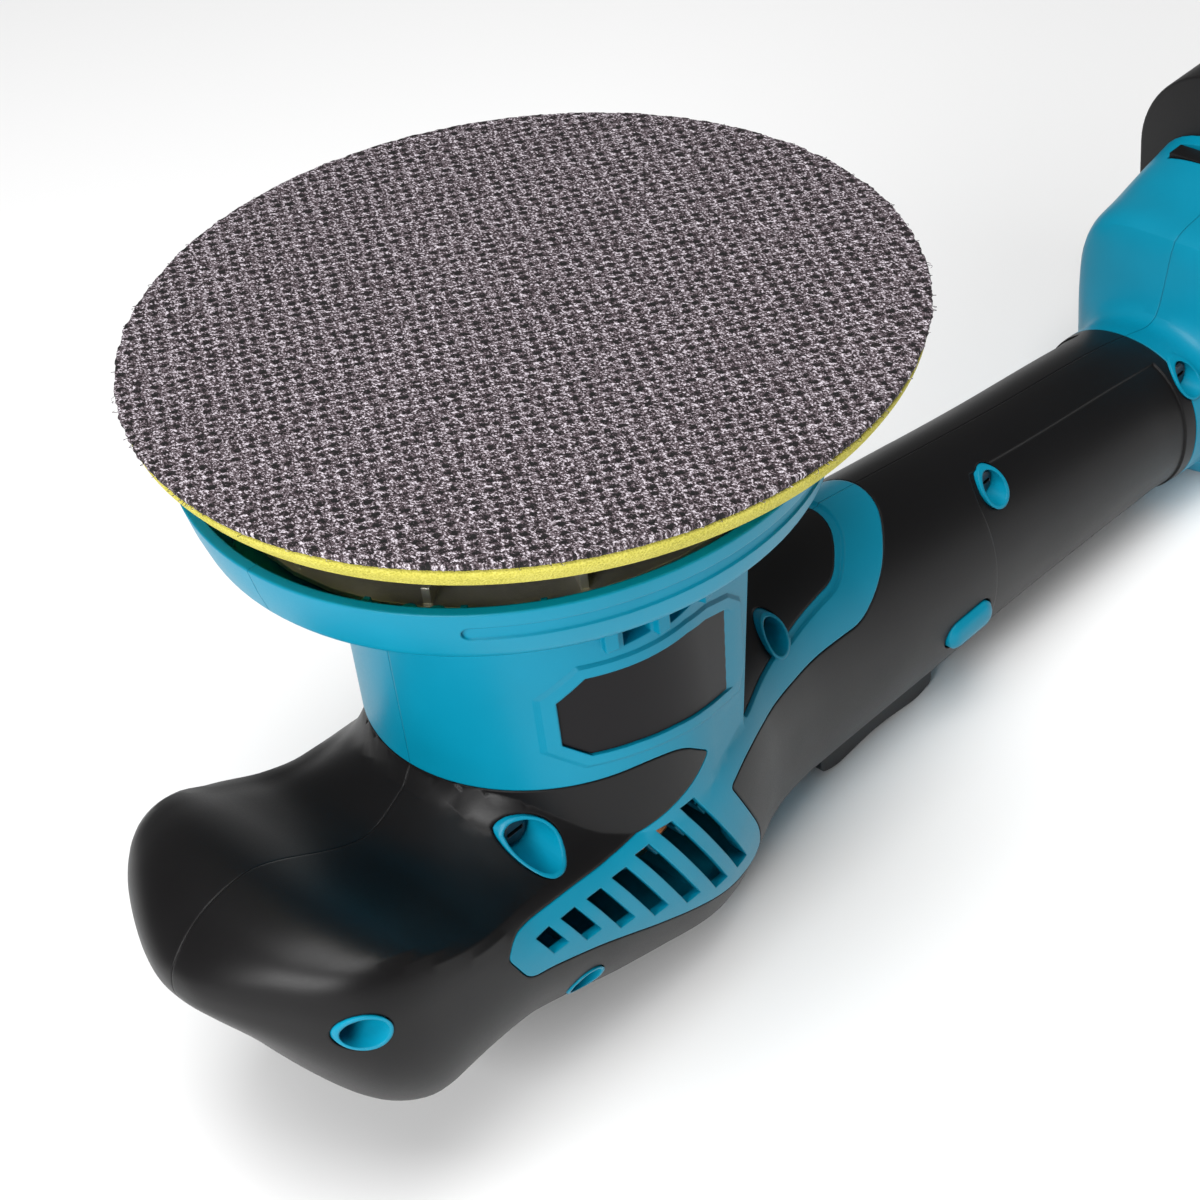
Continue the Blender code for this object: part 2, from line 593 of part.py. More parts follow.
def build_battery(mats):
    home = (BASE_X, 0.0, -118.0)
    block = box("terminal_block", BASE_X - 8.7, BASE_X - 4.1, -19.2, 19.2, -157.7, -151.4)
    for y in (-10.0, 10.0):
        cut(block, box("blade_slot", BASE_X - 7.0, BASE_X - 5.4, y - 3.3, y + 3.3, -156.0, -150.0))
    place(block, mats["terminal"])
    for name, y in (("terminal_blade_1", -10.0), ("terminal_blade_2", 10.0)):
        place(box(name, BASE_X - 6.7, BASE_X - 5.7, y - 3.0, y + 3.0, -155.7, -142.0), mats[name])
    x0, x1, x2 = BASE_X + GAP, 283.0, BATTERY_END_X
    case = battery_shell("battery_case", x0, x1, x0 + 2.6, x1 + 5.0)
    add(case, box("rail_neck", x0 - 4.5, x0 + 1.0, -14.0, 14.0, -150.4, -90.5))
    add(case, box("rail_head", x0 - 9.2, x0 - 4.1, -20.0, 20.0, -150.4, -90.5))
    for y in (-10.0, 10.0):
        cut(case, box("blade_room", x0 - 7.6, x0 - 5.2, y - 3.6, y + 3.6, -155.0, -139.5))
    cut(case, box("button_room", 264.0, 274.0, -12.3, 12.3, -78.0, -54.0))
    place(case, mats["pack"], home)
    cover = battery_shell("battery_cover", x1 + GAP, x2, x1 - 5.0, x2 - 2.6)
    place(cover, mats["pack_cover"], home)
    button = box("battery_button", 264.3, 273.7, -12.0, 12.0, -77.5, -69.5)
    place(button, mats["pack_button"], (269.0, 0.0, -73.5))
    cells = ((272.0, -102.5), (272.0, -121.0), (272.0, -139.5), (289.5, -111.7), (289.5, -130.3))
    for i, (x, z) in enumerate(cells):
        cell = lathe("cell_%d" % (i + 1), ((0.0, -32.2), (9.0, -32.2), (9.0, 32.2), (0.0, 32.2)), 14, (x, z), "Y")
        place(cell, mats["cell_%d" % (i + 1)], home)


def battery_shell(name, x0, x1, c0, c1):
    """One half of the pack: a rounded upright block, hollowed."""
    def ring(x, inset):
        half, top, bottom, r, low = 35.4 - inset, -71.0 - inset, -163.0 + inset, 25.0 - inset, 15.0 - inset
        out = []
        for cy, cz, q, a0 in ((half - r, top - r, r, 0), (-half + r, top - r, r, 90), (-half + low, bottom + low, low, 180),
                              (half - low, bottom + low, low, 270)):
            for i in range(5):
                a = math.radians(a0 + 90 * i / 4)
                out.append((x, cy + q * math.cos(a), cz + q * math.sin(a)))
        return out
    rings = [ring(x0, 0.0), ring(x1, 0.0)]
    if x1 == BATTERY_END_X:
        rings = [ring(x0, 0.0), ring(x1 - 5.0, 0.0), ring(x1 - 1.5, 1.6), ring(x1, 5.0)]
    shell = skin_rings(name, rings)
    cut(shell, skin_rings("inside", [ring(c0, 2.6), ring(c1, 2.6)]))
    return shell


def build_screws(mats):
    for name, x, z, seat in SCREWS:
        profile = ((0.0, seat - 2.6), (2.8, seat - 2.6), (3.1, seat - 2.2), (3.1, seat - GAP), (1.5, seat - GAP),
                   (1.5, 11.5), (0.0, 12.3))
        screw = lathe(name, profile, 10, (x, z), "Y")
        cut(screw, box("slot", x - 2.1, x + 2.1, seat - 4.0, seat - 1.7, z - 0.5, z + 0.5))
        place(screw, mats[name])


# ---- materials and build ------------------------------------------------------------------------
STEEL = (0.55, 0.56, 0.58)
PAINTS = {
    "teal_right": (TEAL, 0.38, 0.0), "teal_left": (TEAL, 0.38, 0.0),
    "grip_nose_right": (BLACK, 0.5, 0.0), "grip_nose_left": (BLACK, 0.5, 0.0),
    "grip_handle_right": (BLACK, 0.5, 0.0), "grip_handle_left": (BLACK, 0.5, 0.0),
    "panel_right": (BLACK, 0.45, 0.0), "panel_left": (BLACK, 0.45, 0.0),
    "badge_right": (BLACK, 0.3, 0.0), "badge_left": (BLACK, 0.3, 0.0),
    "abrasive": ((0.16, 0.12, 0.13), 0.95, 0.0), "foam": ((0.70, 0.64, 0.10), 0.8, 0.0),
    "plate": ((0.03, 0.03, 0.03), 0.6, 0.0), "washer": (STEEL, 0.35, 1.0),
    "bolt": ((0.08, 0.08, 0.09), 0.4, 1.0), "spindle": (STEEL, 0.3, 1.0),
    "race_1": (STEEL, 0.25, 1.0), "race_2": (STEEL, 0.25, 1.0), "race_3": (STEEL, 0.25, 1.0),
    "race_4": (STEEL, 0.25, 1.0), "hub": ((0.50, 0.50, 0.48), 0.45, 1.0),
    "weight": ((0.42, 0.41, 0.36), 0.5, 1.0), "fan": ((0.45, 0.45, 0.42), 0.5, 1.0),
    "shaft": (STEEL, 0.25, 1.0), "rotor": ((0.30, 0.30, 0.32), 0.4, 1.0),
    "core": ((0.25, 0.25, 0.26), 0.5, 1.0), "winding_front": ((0.62, 0.24, 0.10), 0.4, 1.0),
    "winding_tail": ((0.62, 0.24, 0.10), 0.4, 1.0), "end_plate": ((0.60, 0.61, 0.62), 0.4, 1.0),
    "switch": ((0.02, 0.02, 0.02), 0.5, 0.0), "trigger": ((0.025, 0.025, 0.027), 0.45, 0.0),
    "spring": (STEEL, 0.3, 1.0), "lock": (TEAL, 0.38, 0.0), "dial": ((0.03, 0.03, 0.03), 0.5, 0.0),
    "board": ((0.02, 0.16, 0.06), 0.5, 0.0), "terminal": ((0.03, 0.03, 0.03), 0.5, 0.0),
    "terminal_blade_1": ((0.72, 0.60, 0.30), 0.3, 1.0), "terminal_blade_2": ((0.72, 0.60, 0.30), 0.3, 1.0),
    "pack": ((0.02, 0.02, 0.021), 0.45, 0.0), "pack_cover": ((0.02, 0.02, 0.021), 0.45, 0.0),
    "pack_button": ((0.05, 0.05, 0.052), 0.45, 0.0),
}
for number in range(1, 6):
    PAINTS["cell_%d" % number] = ((0.10, 0.30, 0.55), 0.35, 0.0)
for entry in SCREWS:
    PAINTS[entry[0]] = ((0.12, 0.12, 0.12), 0.35, 1.0)

clear()
bpy.context.scene.unit_settings.system = "METRIC"
paints = {key: material(key, *spec) for key, spec in PAINTS.items()}
build_housing(paints)
build_pad(paints)
build_drive(paints)
build_controls(paints)
build_battery(paints)
build_screws(paints)
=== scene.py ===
"""Looks of the cordless orbital sander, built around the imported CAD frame.

Shapes are made in tool coordinates, in millimetres: X along the handle away from the nose, Y across,
Z above the sanding face, motor axis at X = Y = 0. Every mesh is then moved into the row frame.
"""

import json
import math

import bmesh
import bpy
import numpy as np
from mathutils import Matrix, Vector


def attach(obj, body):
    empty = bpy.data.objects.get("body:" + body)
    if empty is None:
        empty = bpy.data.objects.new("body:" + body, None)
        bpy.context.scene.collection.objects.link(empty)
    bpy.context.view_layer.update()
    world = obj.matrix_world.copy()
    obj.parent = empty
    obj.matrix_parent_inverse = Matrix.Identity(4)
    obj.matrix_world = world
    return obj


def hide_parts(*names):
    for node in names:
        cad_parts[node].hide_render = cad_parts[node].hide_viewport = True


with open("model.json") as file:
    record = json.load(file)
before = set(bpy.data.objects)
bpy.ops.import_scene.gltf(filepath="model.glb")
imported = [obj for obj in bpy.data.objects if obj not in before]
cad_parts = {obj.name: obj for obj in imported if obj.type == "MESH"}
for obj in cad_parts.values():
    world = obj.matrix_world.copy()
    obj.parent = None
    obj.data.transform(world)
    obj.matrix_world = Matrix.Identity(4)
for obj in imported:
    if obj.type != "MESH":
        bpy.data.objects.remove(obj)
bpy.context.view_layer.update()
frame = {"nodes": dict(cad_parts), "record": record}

# ---- shared dimensions, millimetres ----------------------------------------------------------
MM = 0.001
GAP = 0.3                      # clearance between two pieces
DISC_R = 75.0
DISC_THICK = 1.3
ORBIT = (4.0, -3.3)            # pad axis, seen from the motor axis
DEPTH = 163.0                  # sanding face to the lowest point
NOSE_X = -99.5
BATTERY_END_X = 306.0
RIM_R = 63.4                   # shroud rim
RIM_Z = -18.8
NECK_R = 37.5
NECK_SEAT_R = 36.0             # the nose grip stops on this radius
WELL_R = 34.2                  # motor well, from WELL_LOW to WELL_TOP
WELL_LOW, WELL_TOP = -112.0, -29.0
SKIN = 1.7                     # thickness of the soft grips
WALL = 4.2
BADGE_DEPTH = 1.6
BASE_X = 258.0                 # where the battery meets the base
LOCK_X, LOCK_Z = 111.0, -136.5
LOCK_HALF = (8.0, 3.5)
DIAL_X, DIAL_Z = 178.0, -147.0
CELL_WALL = 2.6                # wall of the battery pack
FAR = 92.0                     # beyond either side of the tool
SHIFT = Vector((-(NOSE_X + BATTERY_END_X) / 2, -ORBIT[1], DEPTH))
SEAM = 0.05                    # half the joint line between the two sides
QUARTER = 22                   # spans in a quarter of a body section
STEP = 2.0                     # spacing of body sections along the skin

# body sections: x, top, bottom, widest height, half width, upper and lower roundness
SECTIONS = np.array((
    (NOSE_X - 0.4, -93.3, -94.8, -94.0, 1.0, 2.2, 2.2),
    (NOSE_X, -91.0, -96.8, -94.0, 5.0, 2.5, 2.4),
    (-97.0, -87.2, -101.0, -94.0, 13.0, 2.7, 2.5),
    (-93.0, -83.8, -106.5, -95.0, 21.0, 2.8, 2.7),
    (-87.0, -81.2, -117.5, -97.0, 30.0, 2.9, 2.9),
    (-79.0, -80.3, -129.0, -99.0, 36.6, 3.0, 3.2),
    (-70.0, -83.8, -136.5, -101.0, 38.5, 4.0, 3.1),
    (-60.0, -89.5, -141.0, -104.0, 38.5, 4.0, 2.4),
    (-50.0, -93.0, -142.5, -106.0, 38.0, 2.8, 2.2),
    (-42.0, -88.8, -143.0, -107.0, 37.5, 1.75, 2.2),
    (-34.0, -84.5, -144.5, -108.0, 37.7, 1.6, 2.3),
    (-20.0, -85.0, -150.0, -110.0, 38.2, 1.9, 2.3),
    (0.0, -85.5, -156.5, -112.0, 38.5, 2.4, 2.3),
    (12.0, -86.5, -161.0, -113.0, 37.5, 2.8, 2.3),
    (20.0, -87.0, -163.0, -114.0, 35.5, 2.7, 2.2),
    (28.0, -88.0, -160.5, -115.0, 32.5, 2.6, 2.2),
    (36.0, -88.5, -156.5, -117.0, 29.0, 2.5, 2.2),
    (46.0, -89.5, -154.5, -119.0, 26.0, 2.4, 2.2),
    (58.0, -91.0, -155.0, -121.0, 23.5, 2.2, 2.2),
    (75.0, -93.0, -156.0, -123.0, 22.0, 2.0, 2.2),
    (100.0, -97.0, -156.0, -126.0, 21.5, 1.95, 2.2),
    (145.0, -104.5, -155.5, -129.5, 21.0, 1.95, 2.2),
    (190.0, -111.0, -156.0, -133.5, 21.0, 2.0, 2.2),
    (205.0, -114.5, -157.0, -134.5, 22.0, 2.2, 2.2),
    (211.5, -116.0, -157.5, -135.0, 22.2, 2.2, 2.2),
    (215.0, -115.0, -158.5, -135.0, 22.8, 2.4, 2.4),
    (217.5, -109.9, -160.5, -134.0, 24.8, 3.0, 3.0),
    (220.0, -102.5, -162.0, -132.5, 27.0, 3.8, 3.6),
    (222.4, -96.8, -163.0, -131.0, 28.6, 4.6, 4.0),
    (226.0, -95.4, -163.0, -130.0, 29.4, 4.8, 4.2),
    (235.0, -94.2, -163.0, -128.5, 30.3, 4.6, 4.2),
    (246.0, -91.0, -163.0, -127.0, 31.0, 4.2, 4.2),
    (BASE_X, -88.0, -163.0, -126.0, 31.5, 4.0, 4.0),
))
# soft collar round the foot of the neck: radius, height
COLLAR = np.array((
    (0.0, -82.6), (37.0, -82.9), (38.8, -86.2), (41.0, -90.3), (45.0, -95.5), (52.0, -102.0), (400.0, -400.0),
))
# soft ridge between the finger groove and the near side: x, y, z, height
RIDGE = np.array((
    (-88.0, 28.0, -86.3, 0.0), (-80.0, 31.0, -86.8, 0.8), (-71.0, 32.8, -88.4, 1.2),
    (-64.0, 35.5, -92.0, 1.3), (-54.0, 34.8, -96.8, 1.5), (-42.0, 32.2, -98.8, 1.5),
    (-31.0, 32.6, -99.3, 1.1), (-20.0, 33.0, -100.5, 0.0),
))

# side outlines (x, z)
NOSE_GRIP = (
    (-115, -70), (-44, -70), (-44, -83.3), (-8, -83.3), (0, -85.3), (8, -92.5), (3, -96), (-3, -98.3),
    (-10, -100.2), (-20, -101.4), (-38, -101), (-47.5, -100), (-51, -102.5), (-46.3, -112), (-40, -113.8),
    (-25, -119), (-7, -128), (9, -135), (20, -138), (25, -140), (25, -175), (-115, -175),
)
HANDLE_GRIP = (
    (12.6, -106), (18.5, -104.2), (26, -104.1), (35, -105.5), (45, -107), (55, -108.3), (66, -110.2),
    (73.5, -111.4), (80, -109), (86, -105.5), (91, -101.5), (96, -98), (99, -94), (99, -75),
    (202, -75), (202, -175), (122, -175), (122, -149), (46, -149), (46, -175), (28, -175),
    (27, -139), (23.5, -127.5), (17, -115),
)
ARCH_PANEL = (
    (24.7, -99.7), (34, -99.9), (42, -100), (49.5, -100.3), (64, -100.8), (71.6, -101.2),
    (77.6, -98), (82, -95.6), (85.5, -92), (85.5, -75), (28.3, -75),
)
SIDE_PANEL = (
    (121.5, -160), (121.5, -110), (123.5, -105.5), (129, -103.6), (140, -104), (198, -112.5), (198, -160),
)
GRILLE_POCKET = ((-45.0, -101.5), (8.0, -97.0), (14.0, -128.0), (6.0, -134.0), (-45.0, -113.5))
# inner face of the neck's rear wall
REAR_WALL = ((26.0, -87.5), (26.0, -84.0), (29.4, -60.0), (32.4, -38.0), (44.0, -38.0), (44.0, -87.5))
# grille slots: x, top, bottom
SLOTS = (
    (-41.0, -104.0, -110.5), (-34.0, -104.4, -113.7), (-27.0, -104.6, -117.7), (-20.0, -104.3, -122.0),
    (-13.2, -103.4, -126.3), (-6.6, -102.0, -129.8), (-0.3, -100.2, -130.4),
)
SLOT_LEAN = 0.53
SLOT_W = 4.0
# housing screws, from the neck to the base: x, z, head seat
SCREWS = (
    (-31.6, -93.3, -19.0), (-83.0, -97.5, -24.0), (-29.5, -129.5, -22.0),
    (47.0, -97.8, -12.0), (128.5, -110.0, -9.5), (204.0, -121.0, -12.0),
)
RING_SIZES = (4.8, 4.3, 4.2, 4.0, 4.3, 4.5)
ROOT = 3                       # the screw in the arch panel
BADGE = (
    (-23.4, -62.0), (-18.4, -57.6), (-8.0, -58.6), (4.5, -59.6), (11.0, -61.2), (18.5, -64.6), (22.6, -68.7),
    (24.0, -80.0), (20.6, -85.8), (8.0, -81.6), (-1.0, -79.2), (-10.0, -77.6), (-18.9, -76.6), (-23.4, -72.6),
)

# on the neck under the skirt, by angle from the handle
# vents: angle, width, low and high end; tabs: angle, low and high end
VENTS = ((101.3, 6.2, -53.4, -43.0), (84.2, 7.6, -54.6, -43.0), (64.6, 5.0, -57.0, -47.0))
TABS = ((110.6, -52.2, -41.0), (93.6, -53.8, -41.0), (73.5, -55.6, -41.0))


# ---- mesh helpers ------------------------------------------------------------------------------
def make(name, verts, faces):
    """New object in the scene, its faces turned outwards."""
    mesh = bpy.data.meshes.new(name)
    mesh.from_pydata([tuple(v) for v in verts], [], faces)
    obj = bpy.data.objects.new(name, mesh)
    bpy.context.scene.collection.objects.link(obj)
    bm = bmesh.new()
    bm.from_mesh(mesh)
    bmesh.ops.recalc_face_normals(bm, faces=bm.faces)
    bm.to_mesh(mesh)
    bm.free()
    return obj


def skin_rings(name, rings):
    """Closed skin over rings of equal length, capped at both ends and cut into triangles."""
    n = len(rings[0])
    verts = [p for ring in rings for p in ring]
    faces = [tuple(range(n))[::-1]]
    for i in range(len(rings) - 1):
        for j in range(n):
            k = (j + 1) % n
            faces.append((i * n + j, i * n + k, (i + 1) * n + k, (i + 1) * n + j))
    last = (len(rings) - 1) * n
    faces.append(tuple(range(last, last + n)))
    obj = make(name, verts, faces)
    bm = bmesh.new()
    bm.from_mesh(obj.data)
    bmesh.ops.triangulate(bm, faces=bm.faces)
    bm.to_mesh(obj.data)
    bm.free()
    return obj


def pchip(xs, ys, t):
    """Monotone cubic through the points (xs, ys), ys with one or more columns."""
    ys = ys if ys.ndim == 2 else ys[:, None]
    h = np.diff(xs)[:, None]
    d = np.diff(ys, axis=0) / h
    m = np.zeros_like(ys)
    w1 = 2 * h[1:] + h[:-1]
    w2 = h[1:] + 2 * h[:-1]
    rising = d[:-1] * d[1:] > 0
    safe0 = np.where(rising, d[:-1], 1.0)
    safe1 = np.where(rising, d[1:], 1.0)
    m[1:-1] = np.where(rising, (w1 + w2) / (w1 / safe0 + w2 / safe1), 0.0)
    m[0], m[-1] = d[0], d[-1]
    i = np.clip(np.searchsorted(xs, t, side="right") - 1, 0, len(xs) - 2)
    step = h[i]
    u = (np.asarray(t)[:, None] - xs[i][:, None]) / step
    a = (1 + 2 * u) * (1 - u) ** 2 * ys[i] + u * (1 - u) ** 2 * step * m[i]
    return a + u * u * (3 - 2 * u) * ys[i + 1] + u * u * (u - 1) * step * m[i + 1]


def smooth01(t):
    """Ease from 0 to 1."""
    t = np.clip(t, 0.0, 1.0)
    return t * t * (3 - 2 * t)


def dense_rows():
    """SECTIONS at a close spacing along the skin, with the kinks between them smoothed out."""
    weight = np.array((1.0, 0.6, 0.6, 0.0, 1.0, 0.0, 0.0))
    hop = np.sqrt(((np.diff(SECTIONS, axis=0) * weight) ** 2).sum(1))
    along = np.concatenate(([0.0], np.cumsum(hop)))
    stops = []
    for a, b in zip(along, along[1:]):
        stops.extend(np.linspace(a, b, max(2, int(round((b - a) / STEP))), endpoint=False))
    stops.append(along[-1])
    fine = np.linspace(0.0, along[-1], 1600)
    rows = pchip(along, SECTIONS, fine)
    reach = np.clip((fine - 6.0) / 12.0, 0.0, 1.0) * np.clip((along[-12] - fine) / 20.0, 0.0, 1.0)
    width = 0.35 + 2.6 * reach
    even = np.empty_like(rows)
    for i, (here, spread) in enumerate(zip(fine, width)):
        weight = np.exp(-0.5 * ((fine - here) / spread) ** 2)
        even[i] = (rows * weight[:, None]).sum(0) / weight.sum()
    even[0], even[-1] = rows[0], rows[-1]
    return np.stack([np.interp(stops, fine, column) for column in even.T], axis=1)


ROWS = dense_rows()


def quadrant(row, inset, up, side):
    """Points of a quarter section, evenly spaced, from the widest point to the crest or keel."""
    x, top, bottom, mid, half, power_up, power_down = row
    top, bottom, half = top - inset, bottom + inset, half - inset
    a = np.linspace(0.0, math.pi / 2, 90)
    c, s = np.cos(a), np.sin(a)
    c[-1] = 0.0
    power = power_up if up else power_down
    reach = (top - mid) if up else (bottom - mid)
    y = half * c ** (2 / power)
    z = mid + reach * s ** (2 / power)
    if up and x < 14.0:
        lift = pchip(COLLAR[:, 0], COLLAR[:, 1], np.hypot(x, y) + 0.7 * inset)[:, 0] - 0.7 * inset
        z = np.maximum(z, z + (lift - z) * smooth01((s - 0.5) / 0.42) * min(1.0, (14.0 - x) / 6.0))
    if up and RIDGE[0, 0] < x < RIDGE[-1, 0]:
        ry, rz, height = pchip(RIDGE[:, 0], RIDGE[:, 1:], np.array([x]))[0]
        swell = height * np.exp(-((y - ry) ** 2 + (z - rz) ** 2) / 14.0)
        y, z = y + 0.75 * swell, z + 0.65 * swell
    run = np.concatenate(([0.0], np.cumsum(np.hypot(np.diff(y), np.diff(z)))))
    even = np.linspace(0.0, run[-1], QUARTER + 1)
    return np.interp(even, run, y) * side, np.interp(even, run, z)


def body(name, inset=0.0, end=BASE_X):
    """Nose, handle and base in one skin, inset all round."""
    rings = []
    for row in ROWS:
        x = row[0] + inset * min(1.0, max(0.0, (-60.0 - row[0]) / 39.5))
        if row[4] - inset < 0.6 or row[1] - row[2] < 2 * inset + 0.6:
            continue
        y1, z1 = quadrant(row, inset, True, 1)
        y2, z2 = quadrant(row, inset, False, 1)
        ys = np.concatenate((y1[:-1], -y1[::-1][:-1], -y2[:-1], y2[::-1][:-1]))
        zs = np.concatenate((z1[:-1], z1[::-1][:-1], z2[:-1], z2[::-1][:-1]))
        rings.append([(min(x, end), float(y), float(z)) for y, z in zip(ys, zs)])
    return skin_rings(name, rings)


def lathe(name, profile, segments, center=(0.0, 0.0), axis="Z"):
    """Revolve (radius, height) points; a profile that touches radius 0 closes on the axis."""
    rings = []
    for r, h in profile:
        ring = []
        for i in range(segments):
            a = 2 * math.pi * i / segments
            u, v = r * math.cos(a), r * math.sin(a)
            if axis == "Z":
                ring.append((center[0] + u, center[1] + v, h))
            else:
                ring.append((center[0] + u, h, center[1] + v))
        rings.append(ring)
    solid = profile[0][0] == 0.0
    verts = []
    faces = []
    index = []
    for (r, h), ring in zip(profile, rings):
        if r == 0.0:
            index.append([len(verts)] * segments)
            verts.append(ring[0])
        else:
            index.append(list(range(len(verts), len(verts) + segments)))
            verts.extend(ring)
    pairs = list(zip(index, index[1:]))
    if not solid:
        pairs.append((index[-1], index[0]))
    for low, high in pairs:
        for j in range(segments):
            k = (j + 1) % segments
            face = []
            for v in (low[j], low[k], high[k], high[j]):
                if v not in face:
                    face.append(v)
            if len(face) > 2:
                faces.append(tuple(face))
    return make(name, verts, faces)


def fillet(profile, radii, steps=5):
    """Round the corners of an open polyline; radii has one entry per point."""
    out = []
    for i, (p, r) in enumerate(zip(profile, radii)):
        if r <= 0 or i in (0, len(profile) - 1):
            out.append(tuple(p))
            continue
        here = Vector(p)
        a, b = Vector(profile[i - 1]) - here, Vector(profile[i + 1]) - here
        cut = min(r, a.length * 0.49, b.length * 0.49)
        start, stop = here + a.normalized() * cut, here + b.normalized() * cut
        for k in range(steps + 1):
            t = k / steps
            out.append(tuple(start * (1 - t) ** 2 + here * 2 * t * (1 - t) + stop * t * t))
    return out


def soften(outline, most=3.0):
    """Round the corners of a closed outline: gentle ones widely, sharp ones by a little."""
    crisp = 50.0
    n = len(outline)
    out = []
    for i, p in enumerate(outline):
        here = Vector(p)
        a, b = Vector(outline[i - 1]) - here, Vector(outline[(i + 1) % n]) - here
        turn = math.degrees(math.pi - a.angle(b))
        cut = min(a.length * 0.48, b.length * 0.48, most * 4 if turn < crisp else 1.6)
        start, stop = here + a.normalized() * cut, here + b.normalized() * cut
        for k in range(7):
            t = k / 6
            q = start * (1 - t) ** 2 + here * 2 * t * (1 - t) + stop * t * t
            if not out or (Vector(out[-1]) - q).length > 0.05:
                out.append(tuple(q))
    return tuple(out)


def rod(name, r, h0, h1, segments, center=(0.0, 0.0), axis="Z"):
    """Round bar along Z, or along Y with its centre given as (x, z)."""
    return lathe(name, ((0.0, h0), (r, h0), (r, h1), (0.0, h1)), segments, center, axis)


def prism(name, outline, y0, y1):
    """Side outline (x, z) carried across from y0 to y1."""
    return skin_rings(name, [[(x, y0, z) for x, z in outline], [(x, y1, z) for x, z in outline]])


def plan(name, outline, z0, z1):
    """Plan outline (x, y) carried up from z0 to z1."""
    return skin_rings(name, [[(x, y, z0) for x, y in outline], [(x, y, z1) for x, y in outline]])


def box(name, x0, x1, y0, y1, z0, z1):
    """Block between two corners."""
    return plan(name, ((x0, y0), (x1, y0), (x1, y1), (x0, y1)), z0, z1)


def combine(obj, tool, how):
    """Apply a boolean to obj and use the tool up."""
    mod = obj.modifiers.new("cut", "BOOLEAN")
    mod.operation = how
    mod.solver = "MANIFOLD"
    mod.object = tool
    graph = bpy.context.evaluated_depsgraph_get()
    mesh = bpy.data.meshes.new_from_object(obj.evaluated_get(graph))
    obj.modifiers.clear()
    obj.data = mesh
    bpy.data.objects.remove(tool, do_unlink=True)
    return obj


def cut(obj, tool):
    """Take the tool away from obj."""
    return combine(obj, tool, "DIFFERENCE")


def add(obj, tool):
    """Join the tool to obj."""
    return combine(obj, tool, "UNION")


def keep(obj, tool):
    """Keep of obj only what is inside the tool."""
    return combine(obj, tool, "INTERSECT")


def clone(obj, name):
    """Independent copy of an object."""
    twin = bpy.data.objects.new(name, obj.data.copy())
    bpy.context.scene.collection.objects.link(twin)
    return twin


def shrink(outline, by):
    """Offset a closed outline inwards; a negative distance grows it."""
    area = sum(a[0] * b[1] - b[0] * a[1] for a, b in zip(outline, outline[1:] + outline[:1]))
    turn = 1.0 if area > 0 else -1.0
    out = []
    n = len(outline)
    for i, p in enumerate(outline):
        a = Vector(p) - Vector(outline[i - 1])
        b = Vector(outline[(i + 1) % n]) - Vector(p)
        na = Vector((-a.y, a.x)).normalized() * turn
        nb = Vector((-b.y, b.x)).normalized() * turn
        mid = (na + nb).normalized()
        out.append(tuple(Vector(p) + mid * (by / max(0.4, mid.dot(na)))))
    return tuple(out)


def finish_piece(obj, mat, body_name, nodes=(), smooth=32.0):
    """Move a mesh into the row frame, shade it, and tell the frame what it is."""
    bm = bmesh.new()
    bm.from_mesh(obj.data)
    bmesh.ops.remove_doubles(bm, verts=bm.verts, dist=0.01)
    bmesh.ops.dissolve_degenerate(bm, edges=bm.edges, dist=0.005)
    bmesh.ops.transform(bm, matrix=Matrix.Scale(MM, 4) @ Matrix.Translation(SHIFT), verts=bm.verts)
    for face in bm.faces:
        face.smooth = True
    bm.to_mesh(obj.data)
    bm.free()
    obj.data.set_sharp_from_angle(angle=math.radians(smooth))
    obj.data.materials.clear()
    obj.data.materials.append(mat)
    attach(obj, body_name)
    if nodes:
        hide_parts(*nodes)
    return obj


